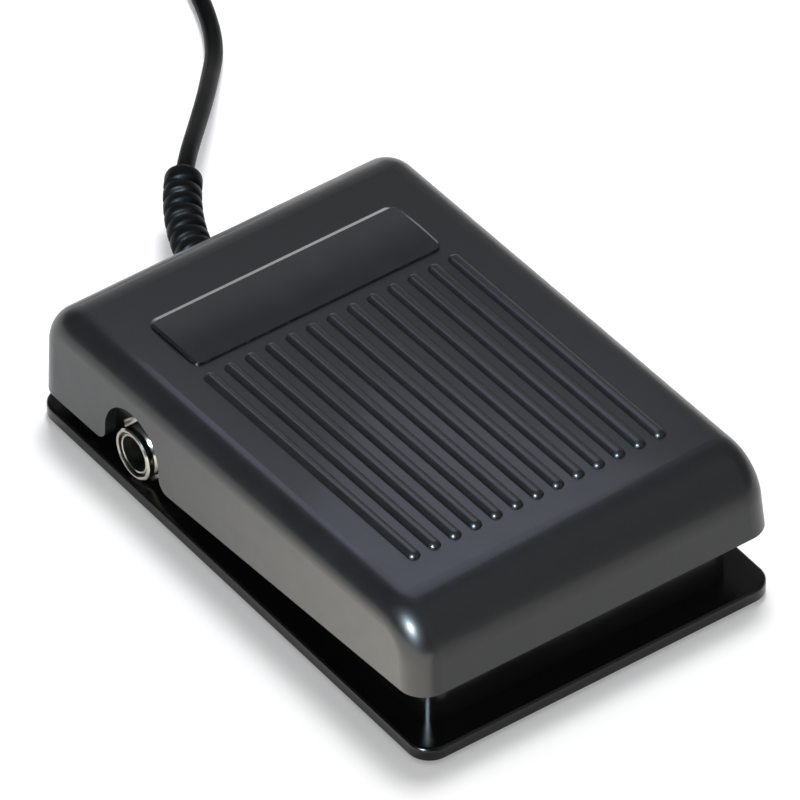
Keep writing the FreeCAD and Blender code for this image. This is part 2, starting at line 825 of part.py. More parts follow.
def cut_arch(body):
    """The arched opening in the left wall that clears the jack at every angle."""
    lean = size["cover_height"] * tangent(size["side_draft"])
    through = size["cover_wall"] + lean + 1.5
    middle, centre = size["arch_back"], plate_top + size["arch_lift"]
    radius = size["arch_radius"]
    round_top = new_sketch(body, "arch_circle", "YZ_Plane", -cover_side - 1)
    circle(round_top, middle, centre, radius)
    pocket(body, "arch", round_top, through, backwards=True)
    legs = new_sketch(body, "arch_legs_outline", "YZ_Plane", -cover_side - 1)
    box_outline(legs, middle - radius, skirt_z - 1, middle + radius, centre)
    cut = pocket(body, "arch_legs", legs, through, backwards=True)
    feet = edges_where(
        cut,
        lambda e: e.BoundBox.XLength > 1
        and e.BoundBox.XMax < -float(cover_side) + 4
        and abs(abs(middle_of(e).y - float(middle)) - float(radius)) < 0.05
        and middle_of(e).z < float(skirt_z) + 1.5,
    )
    fillet(body, "arch_flare", cut, feet, size["arch_flare"])


def cut_notch(body):
    """The notch in the rear wall that the cord's strain relief comes out of."""
    lean = size["cover_height"] * tangent(size["rear_draft"])
    through = size["cover_wall"] + lean + 1.5
    rear, centre = size["cover_rear"] + 1, plate_top + size["notch_lift"]
    radius = size["notch_radius"]
    round_top = new_sketch(body, "notch_circle", "XZ_Plane", -rear)
    circle(round_top, 0, centre, radius)
    pocket(body, "notch", round_top, through, backwards=True)
    legs = new_sketch(body, "notch_legs_outline", "XZ_Plane", -rear)
    box_outline(legs, -radius, skirt_z - 1, radius, centre)
    pocket(body, "notch_legs", legs, through, backwards=True)


def pressed_height(y, rest_height):
    """Pressed height of a point of the treadle that is at some height at rest."""
    tilt = size["rest_tilt"]
    rise = (hinge_y - y) * sine(tilt)
    return hinge_z + (rest_height - hinge_z - rise) / cosine(tilt)


def spring_post_bottom():
    spring_top = plate_top + size["spring_seat"] + size["spring_height"]
    return pressed_height(-size["spring_front"], spring_top + size["spring_slack"])


def spring_post_y():
    """Where a post is drawn so that it hangs over its spring at rest."""
    tilt = size["rest_tilt"]
    spring_top = plate_top + size["spring_seat"] + size["spring_height"]
    shift = (spring_top - hinge_z) * sine(tilt)
    return hinge_y - (hinge_y + size["spring_front"]) * cosine(tilt) - shift


def finger_z():
    """Height of the finger's rounded end over the lever when the treadle is pressed."""
    stand = size["tip_radius"] + size["lever_thick"] / 2 + size["touch_gap"]
    angle = size["lever_end"]
    return pivot_z + size["lever_arm"] * tangent(angle) + stand / cosine(angle)


def add_posts(body):
    """Hinge lugs, spring posts, stop posts and hooks, drawn on the right and mirrored."""
    lug_inside = lug_outside - size["lug_thick"]
    radius = size["lug_radius"]
    web = block(
        body,
        "lug_web",
        (lug_inside, hinge_y - radius, hinge_z),
        (lug_outside, hinge_y + size["lug_web_back"], ceiling_at(hinge_y)),
    )
    round_end = new_sketch(body, "lug_circle", "YZ_Plane", lug_inside)
    circle(round_end, hinge_y, hinge_z, radius)
    lug = pad(body, "lug", round_end, size["lug_thick"])
    bore = new_sketch(body, "lug_bore_circle", "YZ_Plane", lug_inside - 1)
    circle(bore, hinge_y, hinge_z, size["pin_radius"] + size["running_gap"])
    bored = pocket(body, "lug_bore", bore, size["lug_thick"] + 2, backwards=True)

    side, y, low = size["spring_side"], spring_post_y(), spring_post_bottom()
    seat = stud(
        body, "spring_post", side, y, size["spring_radius"] + 1.2, low, ceiling_at(y)
    )
    peg = stud(
        body, "post_peg", side, y, size["peg_radius"], low - size["peg_height"], low + 1
    )
    side, y = size["bumper_side"], -size["bumper_front"]
    bumper_top = plate_top + size["bumper_height"]
    stop = stud(
        body,
        "stop_post",
        side,
        y,
        size["bumper_radius"] - 0.9,
        bumper_top + size["stop_gap"],
        ceiling_at(y),
    )
    side, half = size["hook_side"], size["hook_width"] / 2
    leg_front = -size["hook_front"]
    leg_rear = leg_front + size["hook_thick"]
    nose_y = leg_front - size["hook_reach"]
    ledge_bottom = tub_top - size["ledge_drop"] - size["ledge_thick"]
    nose_top = pressed_height(nose_y, ledge_bottom - size["stop_gap"])
    nose_bottom = nose_top - size["nose_thick"]
    leg = block(
        body,
        "hook_leg",
        (side - half, leg_front, nose_bottom),
        (side + half, leg_rear, ceiling_at(leg_front)),
    )
    nose = block(
        body,
        "hook_nose",
        (side - half, nose_y, nose_bottom),
        (side + half, leg_front + 0.5, nose_top),
    )
    mirror = body.newObject("PartDesign::Mirrored", "left_posts")
    mirror.Originals = [web, lug, bored, seat, peg, stop, leg, nose]
    mirror.MirrorPlane = (side_plane(body), [""])
    body.Tip = mirror
    doc.recompute()

    y, tip = pivot_y + size["lever_arm"], size["tip_radius"]
    half = size["lever_width"] / 2 + 1
    block(
        body,
        "finger",
        (-half, y - tip, finger_z()),
        (half, y + tip, ceiling_at(y)),
    )
    round_tip = new_sketch(body, "finger_tip_circle", "YZ_Plane")
    circle(round_tip, y, finger_z(), tip)
    pad(body, "finger_tip", round_tip, half * 2, both=True)


def make_treadle_cover():
    hollow = new_body("treadle_hollow")
    cover_blank(hollow, size["cover_wall"])
    body = new_body("treadle_cover")
    cover_blank(body, as_size(0.0))
    shell = body.newObject("PartDesign::Boolean", "shell")
    shell.setObjects([hollow])
    shell.Type = "Cut"
    doc.recompute()
    cut_arch(body)
    cut_notch(body)
    cut_badge_seat(body)
    add_ribs(body)
    add_posts(body)
    tilt_with_treadle(body)
    return body


def make_badge_plate():
    """A glossy plate, a little crowned across, in its seat on the treadle."""
    body = new_body("badge_plate")
    half = size["badge_width"] / 2
    low = -size["badge_sunk"]
    edge = low + size["badge_thick"]
    crown = size["badge_crown"]
    radius = (half * half + crown * crown) / (crown * 2)
    slope = size["top_slope"]
    profile = new_sketch(
        body,
        "badge_profile",
        "XZ_Plane",
        -size["badge_back"] * cosine(slope),
        up=top_z + size["badge_back"] * sine(slope),
        tip=slope,
    )
    points = [(-half, edge), (-half, low), (half, low), (half, edge)]
    drawn = [FreeCAD.Vector(float(across), float(up), 0) for across, up in points]
    lines = [
        profile.addGeometry(Part.LineSegment(start, end), False)
        for start, end in zip(drawn, drawn[1:])
    ]
    reach = math.degrees(math.asin(float(half / radius)))
    top = arc(profile, 0, edge + crown - radius, radius, 90 - reach, 90 + reach)
    join(profile, lines[0], 2, lines[1], 1)
    join(profile, lines[1], 2, lines[2], 1)
    join(profile, lines[2], 2, top, 1)
    join(profile, top, 2, lines[0], 1)
    for number, (across, up) in zip(lines, points):
        hold(profile, "DistanceX", number, 1, across)
        if number > lines[0]:
            hold(profile, "DistanceY", number, 1, up)
    hold(profile, "DistanceX", lines[2], 2, half)
    hold(profile, "DistanceY", lines[2], 2, edge)
    plate = pad(body, "plate", profile, size["badge_length"], both=True)
    corners = fillet(
        body, "corners", plate, edges_where(plate, is_upright), size["badge_corner"]
    )
    rim = edges_where(
        corners, lambda e: middle_of(e).z > float(top_at(middle_of(e).y)) + 0.1
    )
    fillet(body, "rim", corners, rim, as_size(0.15))
    tilt_with_treadle(body)
    return body


# Turned and plain pieces


def turned(label, axis, place, points):
    """A turned piece from its half profile, given as distance along the axis, radius."""
    body = new_body(label)
    x, y, z = place
    profile = new_sketch(body, f"{label}_profile", "XZ_Plane", -as_size(y), x, z)
    if axis == "x":
        outline(profile, [(as_size(along), as_size(out)) for along, out in points])
    else:
        outline(profile, [(as_size(out), as_size(along)) for along, out in points])
    made = body.newObject("PartDesign::Revolution", f"{label}_turned")
    made.Profile = profile
    made.ReferenceAxis = (profile, ["H_Axis" if axis == "x" else "V_Axis"])
    made.Angle = 360
    doc.recompute()
    return body


def group(label, members):
    """Several separate solids that are one node, such as identical screws."""
    made = doc.addObject("Part::Compound", label)
    made.Label = label
    made.Links = members
    return made


def make_hinge_pin(name, side):
    """A headed pin from outside the tub's wall, with a groove for its clip."""
    head_in = tub_side + size["boss_thick"]
    lug_inside = lug_outside - size["lug_thick"]
    groove = lug_inside - size["clip_gap"] - size["clip_thick"]
    radius, bottom = size["pin_radius"], size["pin_groove_radius"]
    points = [
        (lug_inside - size["pin_end"], 0),
        (lug_inside - size["pin_end"], radius),
        (groove, radius),
        (groove, bottom),
        (groove + size["clip_thick"], bottom),
        (groove + size["clip_thick"], radius),
        (head_in, radius),
        (head_in, size["pin_head_radius"]),
        (head_in + size["pin_head_thick"] - 0.4, size["pin_head_radius"]),
        (head_in + size["pin_head_thick"], size["pin_head_radius"] - 0.6),
        (head_in + size["pin_head_thick"], 0),
    ]
    points = [(along * side, out) for along, out in points]
    return turned(f"hinge_pin_{name}", "x", (0, hinge_y, hinge_z), points)


def make_hinge_clip(name, side):
    """A snap ring with an open mouth, in the pin's groove."""
    body = new_body(f"hinge_clip_{name}")
    lug_inside = lug_outside - size["lug_thick"]
    start = (lug_inside - size["clip_gap"]) * side
    backwards = side > 0
    ring = new_sketch(body, f"clip_ring_{name}", "YZ_Plane", start)
    circle(ring, hinge_y, hinge_z, size["clip_radius"])
    circle(ring, hinge_y, hinge_z, size["pin_groove_radius"])
    pad(body, f"clip_{name}", ring, size["clip_thick"], backwards=backwards)
    mouth = new_sketch(body, f"clip_mouth_{name}", "YZ_Plane", start)
    half = size["clip_mouth"]
    box_outline(
        mouth,
        hinge_y - half,
        hinge_z - size["clip_radius"] - 1,
        hinge_y + half,
        hinge_z,
    )
    pocket(
        body, f"clip_opening_{name}", mouth, size["clip_thick"], backwards=not backwards
    )
    return body


def make_stop_bumper(name, side):
    radius, height = size["bumper_radius"], size["bumper_height"]
    place = (size["bumper_side"] * side, -size["bumper_front"], plate_top)
    points = [
        (0, 0),
        (0, radius),
        (height - 0.8, radius),
        (height, radius - 0.8),
        (height, 0),
    ]
    return turned(f"stop_bumper_{name}", "z", place, points)


def make_foot(name, side, end):
    """A rubber foot in its pocket under the plate."""
    radius = size["foot_radius"]
    height = size["foot_stand"] + size["foot_sunk"]
    across = size["base_width"] / 2 - size["foot_inset_side"]
    back = size["base_length"] / 2 - size["foot_inset_end"]
    points = [(0, 0), (0, radius - 0.4), (0.4, radius), (height, radius), (height, 0)]
    return turned(f"foot_{name}", "z", (across * side, back * end, 0), points)


# Switch: case with a pivoted lever and a plunger, screwed to the tray's bracket


def lever_rest():
    """Degrees that the lever rises at rest, where it just meets the raised finger."""
    tilt = size["rest_tilt"]
    stand = size["tip_radius"] + size["lever_thick"] / 2 + size["touch_gap"]
    along = pivot_y + size["lever_arm"] - hinge_y
    up = finger_z() - hinge_z
    rest_y = hinge_y + along * cosine(tilt) + up * sine(tilt)
    rest_z = hinge_z - along * sine(tilt) + up * cosine(tilt)
    reach = diagonal(rest_y - pivot_y, rest_z - pivot_z)
    return heading(rest_y - pivot_y, rest_z - pivot_z) - arc_sine(stand / reach)


def plunger_centre(angle):
    """Height of the plunger's rounded end's centre under the lever at an angle."""
    stand = size["lever_thick"] / 2 + size["plunger_radius"] + size["plunger_gap"]
    return pivot_z + size["plunger_arm"] * tangent(angle) - stand / cosine(angle)


def make_switch_case():
    body = new_body("switch_case")
    half = size["case_width"] / 2
    front = -size["case_front"]
    case = block(
        body,
        "case",
        (-half, front, case_bottom),
        (half, front + size["case_length"], case_top),
    )
    fillet(body, "case_edges", case, edges_where(case, is_upright), as_size(0.5))
    bottom = plunger_centre(size["lever_end"]) - size["plunger_sunk"] - 0.2
    stud(
        body,
        "plunger_hole",
        0,
        pivot_y + size["plunger_arm"],
        size["plunger_radius"] + size["running_gap"],
        bottom,
        case_top + 1,
        cut=True,
    )
    ear_inside = size["lever_width"] / 2 + 0.15
    ear = block(
        body,
        "ear",
        (ear_inside, front, case_top - 0.5),
        (half, front + size["lever_inset"] * 2, pivot_z + size["pivot_radius"] + 0.5),
    )
    mirror = body.newObject("PartDesign::Mirrored", "left_ear")
    mirror.Originals = [ear]
    mirror.MirrorPlane = (side_plane(body), [""])
    body.Tip = mirror
    doc.recompute()
    pivot = new_sketch(body, "pivot_circle", "YZ_Plane")
    circle(pivot, pivot_y, pivot_z, size["pivot_radius"])
    pad(body, "pivot", pivot, ear_inside * 2 + 0.4, both=True)
    holes = new_sketch(body, "case_holes", "YZ_Plane", -half - 1)
    for y in switch_screw_places():
        circle(holes, y, switch_screw_z(), size["screw_radius"] + size["screw_gap"])
    pocket(body, "case_screw_holes", holes, size["case_width"] + 2, backwards=True)
    return body


def make_switch_lever():
    """A sprung sheet with a rolled eye at its pivot, drawn level and then raised."""
    body = new_body("switch_lever")
    width, thick = size["lever_width"], size["lever_thick"]
    bore = size["pivot_radius"] + size["running_gap"]
    eye = new_sketch(body, "eye_circle", "YZ_Plane")
    circle(eye, 0, 0, bore + thick)
    pad(body, "eye", eye, width, both=True)
    sheet_outline = new_sketch(body, "sheet_outline", "YZ_Plane")
    box_outline(sheet_outline, bore + 0.1, -thick / 2, size["lever_length"], thick / 2)
    made = pad(body, "lever_sheet", sheet_outline, width, both=True)
    corners = edges_where(
        made,
        lambda e: is_upright(e)
        and abs(middle_of(e).y - float(size["lever_length"])) < 0.01
        and e.BoundBox.XLength < 0.01,
    )
    fillet(body, "lever_corners", made, corners, as_size(0.8))
    hole = new_sketch(body, "eye_bore_circle", "YZ_Plane")
    circle(hole, 0, 0, bore)
    pocket(body, "eye_bore", hole, width + 1, both=True)
    body.setExpression(
        "Placement",
        f"placement(vector(0; {pivot_y.text}; {pivot_z.text});"
        f" rotation(vector(1; 0; 0); {lever_rest().text}))",
    )
    return body


def make_switch_plunger():
    radius = size["plunger_radius"]
    centre = plunger_centre(lever_rest())
    body = turned(
        "switch_plunger",
        "z",
        (0, pivot_y + size["plunger_arm"], centre),
        [(-size["plunger_sunk"], 0), (-size["plunger_sunk"], radius), (0, radius), (0, 0)],
    )
    cap = body.newObject("PartDesign::AdditiveSphere", "plunger_cap")
    bind(cap, "Radius", radius)
    bind(cap, "Placement.Base.y", pivot_y + size["plunger_arm"])
    bind(cap, "Placement.Base.z", centre)
    doc.recompute()
    return body


def tab(name, low, lengths):
    """A flat solder tab: a plain block by its low corner and its lengths."""
    made = doc.addObject("Part::Box", name)
    for side, length in zip(("Length", "Width", "Height"), lengths):
        bind(made, side, length)
    for axis, value in zip("xyz", low):
        bind(made, f"Placement.Base.{axis}", value)
    return made


def make_switch_terminals():
    thick, wide, drop = size["tab_thick"], size["tab_width"], size["tab_drop"]
    middle = size["case_length"] / 2 - size["case_front"]
    tabs = []
    for step in (-1, 0, 1):
        y = middle + size["tab_pitch"] * step
        low = (-thick / 2, y - wide / 2, case_bottom - drop)
        tabs.append(tab(f"terminal_{step + 2}", low, (thick, wide, drop)))
    return group("switch_terminals", tabs)


def make_switch_screws():
    half = size["case_width"] / 2
    head, radius = size["screw_head"], size["screw_radius"]
    screws = []
    for number, y in enumerate(switch_screw_places(), start=1):
        points = [
            (-half - size["head_thick"], 0),
            (-half - size["head_thick"], head - 0.4),
            (-half - size["head_thick"] + 0.4, head),
            (-half, head),
            (-half, radius),
            (half + size["bracket_thick"], radius),
            (half + size["bracket_thick"], 0),
        ]
        place = (0, y, switch_screw_z())
        screws.append(turned(f"switch_screw_{number}", "x", place, points))
    return group("switch_screws", screws)


# Jack in the left wall


def make_jack_body():
    body = new_body("jack_body")
    half = size["jack_body_width"] / 2
    y = size["jack_back"]
    bottom = plate_top + 1
    made = block(
        body,
        "housing",
        (-tub_inside, y - half, bottom),
        (jack_inner_end, y + half, bottom + size["jack_body_height"]),
    )
    fillet(body, "housing_edges", made, edges_where(made, is_upright), as_size(1.0))
    bore = new_sketch(body, "jack_bore_circle", "YZ_Plane", -tub_inside - 1)
    circle(bore, y, jack_z, size["jack_bore"])
    deep = bore_end + tub_inside + 1
    pocket(body, "jack_bore", bore, deep, backwards=True)
    return body


def make_jack_bushing():
    """Plated collar with a rolled rim and a countersunk mouth."""
    outside, bore = size["bushing_radius"], size["jack_bore"]
    mouth = size["bushing_mouth"]
    points = [
        (bushing_face, bore + mouth),
        (bushing_face, outside - 0.4),
        (bushing_face + 0.4, outside),
        (-tub_inside, outside),
        (-tub_inside, bore),
        (bushing_face + mouth, bore),
    ]
    return turned("jack_bushing", "x", (0, size["jack_back"], jack_z), points)


def make_jack_washer():
    body = new_body("jack_washer")
    flat = new_sketch(body, "washer_circles", "YZ_Plane", -tub_side)
    circle(flat, size["jack_back"], jack_z, size["washer_radius"])
    circle(flat, size["jack_back"], jack_z, size["bushing_radius"])
    pad(body, "washer", flat, size["washer_thick"], backwards=True)
    return body


def make_jack_nut():
    body = new_body("jack_nut")
    start = -tub_side - size["washer_thick"]
    corner = size["nut_flats"] / 2 / cosine(as_size(30.0))
    hexagon = new_sketch(body, "nut_outline", "YZ_Plane", start)
    around = [as_size(60.0 * number + 15.0) for number in range(6)]
    y = size["jack_back"]
    outline(hexagon, [(y + corner * cosine(a), jack_z + corner * sine(a)) for a in around])
    made = pad(body, "nut", hexagon, size["nut_thick"], backwards=True)
    rim = edges_where(
        made, lambda e: abs(e.BoundBox.XMax - float(start - size["nut_thick"])) < 0.01
    )
    chamfer = body.newObject("PartDesign::Chamfer", "nut_chamfer")
    chamfer.Base = (made, rim)
    chamfer.Size = 0.35
    doc.recompute()
    bore = new_sketch(body, "nut_bore_circle", "YZ_Plane", start + 1)
    circle(bore, y, jack_z, size["bushing_radius"])
    pocket(body, "nut_bore", bore, size["nut_thick"] + 2)
    return body


def make_jack_lugs():
    thick, wide = size["tab_thick"], size["tab_width"]
    lugs = []
    for number, step in enumerate((-1, 1), start=1):
        y = size["jack_back"] + size["lug_spread"] * step
        low = (jack_inner_end, y - wide / 2, jack_z - thick / 2)
        lugs.append(tab(f"jack_lug_{number}", low, (size["lug_reach"], wide, thick)))
    return group("jack_lugs", lugs)


# Cord clamp


def make_cord_clamp():
    body = new_body("cord_clamp")
    half, deep = size["clamp_length"] / 2, size["clamp_width"] / 2
    y = size["clamp_back"]
    bar = block(
        body,
        "bar",
        (-half, y - deep, clamp_z),
        (half, y + deep, clamp_z + size["clamp_thick"]),
    )
    fillet(body, "bar_ends", bar, edges_where(bar, is_upright), deep - 0.4)
    holes = new_sketch(body, "clamp_holes", "XY_Plane", clamp_z - 1)
    for side in (-1, 1):
        hole_radius = size["screw_radius"] + size["screw_gap"]
        circle(holes, size["clamp_side"] * side, y, hole_radius)
    pocket(body, "clamp_bores", holes, size["clamp_thick"] + 2, backwards=True)
    return body


def make_clamp_screws():
    head, radius = size["screw_head"], size["screw_radius"]
    top = clamp_z + size["clamp_thick"]
    screws = []
    for number, side in enumerate((-1, 1), start=1):
        points = [
            (clamp_z - size["clamp_screw_depth"] - top, 0),
            (clamp_z - size["clamp_screw_depth"] - top, radius),
            (0, radius),
            (0, head),
            (size["head_thick"] - 0.4, head),
            (size["head_thick"], head - 0.4),
            (size["head_thick"], 0),
        ]
        place = (size["clamp_side"] * side, size["clamp_back"], top)
        screws.append(turned(f"clamp_screw_{number}", "z", place, points))
    return group("clamp_screws", screws)


# Bent and wound forms, which follow routes of straight runs and arcs

CORNER_SHARE = 0.45
LEAST_GAP = 0.4


def length_of(name):
    return float(size[name])


def shaped(label, shape):
    made = doc.addObject("Part::Feature", label)
    made.Label = label
    made.Shape = shape
    return made


def arc_round(start, corner, end):
    """The arc that leaves a start towards a corner and reaches an end from it."""
    middle = (start + end) / 2
    half_chord = (end - start).Length / 2
    share = 1 / (1 + half_chord / (corner - start).Length)
    return Part.Arc(start, corner + (middle - corner) * share, end).toShape()


def rounded_route(points):
    """Edges of a route: straight runs joined by arcs, and the least arc's radius."""
    edges, radii = [], []
    here = points[0]
    for before, point, after in zip(points, points[1:], points[2:]):
        into, out = point - before, after - point
        reach = CORNER_SHARE * min(into.Length, out.Length)
        radii.append(reach / math.tan(into.getAngle(out) / 2))
        start = point - into.normalize() * reach
        end = point + out.normalize() * reach
        edges.append(Part.LineSegment(here, start).toShape())
        edges.append(arc_round(start, point, end))
        here = end
    edges.append(Part.LineSegment(here, points[-1]).toShape())
    return edges, min(radii, default=math.inf)


def sided_section(centre, direction, radius, sides):
    """A polygon square to a direction, with a flat side towards the floor."""
    across = direction.cross(FreeCAD.Vector(0, 0, 1)).normalize()
    up = across.cross(direction).normalize()
    turns = [math.tau * (number + 0.5) / sides for number in range(sides + 1)]
    return Part.makePolygon(
        [centre + (across * math.sin(t) - up * math.cos(t)) * radius for t in turns]
    )


def swept(name, edges, section):
    """A tube along a route, with its volume held against section times length."""
    spine = Part.Wire(edges)
    tube = spine.makePipeShell([section], True, False)
    expected = Part.Face(section).Area * spine.Length
    share = tube.Volume / expected
    print(f"{name}: {spine.Length:.1f} mm long, volume {share:.4f} of section x length")
    if abs(share - 1) > 0.02:
        raise RuntimeError(f"{name} isn't a sound tube")
    return tube


def least_self_gap(name, edges, radius, points_per_turn, turns):
    """The smallest gap between one turn and the next, measured on points."""
    count = int(points_per_turn * turns)
    points = Part.Wire(edges).discretize(Number=count + 1)
    apart = points_per_turn // 2
    nearest = min(
        (points[i] - points[j]).Length
        for i in range(count + 1)
        for j in range(i + apart, count + 1)
    )
    gap = nearest - 2 * radius
    print(f"{name}: least gap between turns {gap:.2f} mm")
    if gap < LEAST_GAP:
        raise RuntimeError(f"{name}'s turns are too close")


def tube(label, points, radius, sides):
    """A many-sided tube along a route of points chosen by hand."""
    edges, least = rounded_route(points)
    print(f"{label}: least bend radius {least:.1f} mm")
    way = (points[1] - points[0]).normalize()
    return swept(label, edges, sided_section(points[0], way, radius, sides))


def make_return_spring(name, side):
    """A helix: each half turn is two arcs that meet half way up it."""
    radius, wire = length_of("spring_radius"), length_of("spring_wire")
    turns, height = length_of("spring_turns"), length_of("spring_height")
    seat = float(plate_top + size["spring_seat"])
    x, y = length_of("spring_side") * side, -length_of("spring_front")
    steps = round(turns * 4)
    rise = (height - 2 * wire) / steps
    slope = rise * 4 / (math.tau * radius)

    def place(step):
        angle = math.tau * step / 4
        return FreeCAD.Vector(
            x + radius * math.cos(angle),
            y + radius * math.sin(angle),
            seat + wire + rise * step,
        )

    def way(step):
        angle = math.tau * step / 4
        return FreeCAD.Vector(-math.sin(angle), math.cos(angle), slope).normalize()

    edges = []
    for step in range(steps):
        start, end = place(step), place(step + 1)
        leave, arrive = way(step), way(step + 1)
        span, both = end - start, leave + arrive
        square = 4 - both.dot(both)
        reach = (math.sqrt(span.dot(both) ** 2 + square * span.dot(span)) - span.dot(both)) / square
        middle = (start + leave * reach + end - arrive * reach) / 2
        edges.append(arc_round(start, start + leave * reach, middle))
        edges.append(arc_round(middle, end - arrive * reach, end))
    label = f"return_spring_{name}"
    least_self_gap(label, edges, wire, 24, turns)
    section = sided_section(place(0), way(0), wire, 6)
    return shaped(label, swept(label, edges, section))


def coil_place(step):
    """A point of the coil after some half turns, and the way that the cord goes."""
    layer, place = divmod(step, round(length_of("coil_layer_turns")))
    last = round(length_of("coil_layer_turns")) - 1
    inwards = place if layer % 2 == 0 else last - place
    radius = length_of("coil_outer") - length_of("coil_step") * inwards
    if inwards == last:
        radius -= length_of("coil_ease")
    if inwards == 0 and step > 0:
        radius += length_of("coil_ease")
    side = 1 if step % 2 == 0 else -1
    start = math.radians(length_of("coil_start"))
    outwards = FreeCAD.Vector(math.cos(start), math.sin(start), 0) * side
    centre = FreeCAD.Vector(length_of("coil_x"), length_of("coil_y"), float(floor_z))
    up = FreeCAD.Vector(0, 0, length_of("coil_layer") * layer)
    return centre + up + outwards * radius, FreeCAD.Vector(-outwards.y, outwards.x, 0)


def make_cord_coil():
    """Four layers that spiral in and out, each half turn one arc, tilted to climb."""
    half_turns = round(length_of("coil_half_turns"))
    edges = []
    for step in range(half_turns):
        start, way = coil_place(step)
        end = coil_place(step + 1)[0]
        middle = (start + end) / 2 + way * ((end - start).Length / 2)
        edges.append(Part.Arc(start, middle, end).toShape())
    radius = length_of("cord_radius")
    least_self_gap("cord_coil", edges, radius, 48, half_turns / 2)
    start, way = coil_place(0)
    section = sided_section(start, way, radius, 6)
    return shaped("cord_coil", swept("cord_coil", edges, section))


def boot_place(distance):
    """A point of the strain relief's middle line outside the wall, and its way."""
    turn_end = math.radians(length_of("boot_turn"))
    bend, straight = length_of("boot_bend"), length_of("boot_straight")
    wall, drop = length_of("tub_rear"), length_of("boot_drop")
    turn = max(0.0, (distance - straight) / bend)
    share = turn / turn_end
    x = bend * (1 - math.cos(turn))
    y = wall + min(distance, straight) + bend * math.sin(turn)
    z = float(cord_z) - drop * share * share
    fall = -2 * drop * share / (bend * turn_end)
    way = FreeCAD.Vector(math.sin(turn), math.cos(turn), fall).normalize()
    return FreeCAD.Vector(x, y, z), way


def boot_length():
    turn_end = math.radians(length_of("boot_turn"))
    return length_of("boot_straight") + length_of("boot_bend") * turn_end


def make_strain_relief():
    """Ribbed boot outside the wall, a neck through it and a flange behind it."""
    whole = boot_length()
    thick, thin = length_of("boot_radius"), length_of("boot_tip_radius")
    pitch, deep = length_of("boot_rib_pitch"), length_of("boot_groove")
    chamfer = length_of("boot_chamfer")

    def ring(distance, sunk):
        place, way = boot_place(distance)
        radius = thick + (thin - thick) * distance / whole - sunk
        up = FreeCAD.Vector(0, 0, 1)
        rotation = FreeCAD.Rotation(up.cross(way), up, way, "ZXY")
        made = Part.Circle(FreeCAD.Vector(), up, radius).toShape()
        made.Placement = FreeCAD.Placement(place, rotation)
        return Part.Wire(made)

    rings = [ring(0.0, 0.0)]
    ribs = int((whole - length_of("boot_straight") - chamfer - 0.5) // pitch)
    first = whole - chamfer - pitch * ribs - 0.6
    for number in range(ribs):
        start = first + pitch * number
        rings += [
            ring(start, 0.0),
            ring(start + pitch * 0.1, deep),
            ring(start + pitch * 0.32, deep),
            ring(start + pitch * 0.42, 0.0),
        ]
    rings += [ring(whole - chamfer, 0.0), ring(whole, chamfer * 0.6)]
    boot = Part.makeLoft(rings, True, True)

    wall, gap = length_of("tub_wall"), length_of("boot_flange_thick")
    back = FreeCAD.Vector(0, -1, 0)
    outside = boot_place(0.0)[0]
    neck = Part.makeCylinder(length_of("boot_neck_radius"), wall, outside, back)
    inside = outside + back * wall
    flange = Part.makeCylinder(length_of("boot_flange"), gap, inside, back)
    return shaped("strain_relief", boot.fuse([neck, flange]).removeSplitter())


def make_cord_tail_inside():
    body = new_body("cord_tail_inside")
    start = size["tub_rear"] - size["tub_wall"] - size["boot_flange_thick"]
    end = new_sketch(body, "tail_circle", "XZ_Plane", -start)
    circle(end, 0, cord_z, size["cord_radius"])
    pad(body, "jacket", end, start - tail_end)
    return body


def make_signal_wires():
    """Two wires to the jack's lugs and two to the switch, out of the cord's end."""
    start, z = float(tail_end), float(cord_z)
    lug_y = length_of("jack_back")
    spread, half_tab = length_of("lug_spread"), length_of("tab_width") / 2
    lug_z, beside = float(jack_z), float(jack_inner_end)
    lug_x = beside + length_of("lug_reach") - 0.6
    middle = length_of("case_length") / 2 - length_of("case_front")
    low = float(case_bottom) - 2.2
    near_tab = middle + length_of("tab_pitch") + half_tab
    routes = [
        [
            (-0.6, start, z + 0.6),
            (beside + 2.9, start - 2.0, z + 0.6),
            (lug_x, lug_y + spread + half_tab + 0.8, lug_z),
            (lug_x, lug_y + spread + half_tab, lug_z),
        ],
        [
            (0.6, start, z + 0.6),
            (beside + 4.1, start - 3.0, z + 0.6),
            (beside + 4.4, lug_y - 0.5, lug_z),
            (lug_x, lug_y - spread + half_tab + 1.2, lug_z),
            (lug_x, lug_y - spread + half_tab, lug_z),
        ],
        [
            (0.6, start, z - 0.6),
            (beside + 4.1, start - 4.0, z - 0.6),
            (beside + 4.7, lug_y - 4.9, z - 3.2),
            (1.1, 13.0, low + 0.2),
            (0.0, near_tab + 3.0, low),
            (0.0, near_tab, low),
        ],
        [
            (-0.6, start, z - 0.6),
            (beside + 2.9, start - 3.0, z - 0.6),
            (beside + 2.1, lug_y - 3.9, z - 3.4),
            (-2.2, 12.0, low + 0.2),
            (-2.4, 4.0, low),
            (-2.2, middle, low),
            (-length_of("tab_thick") / 2, middle, low),
        ],
    ]
    radius = length_of("wire_radius")
    wires = [
        tube(f"wire {number}", [FreeCAD.Vector(*p) for p in route], radius, sides=6)
        for number, route in enumerate(routes, start=1)
    ]
    return shaped("signal_wires", Part.makeCompound(wires))


# Cord on the floor, from the strain relief to the coil and on to the plug

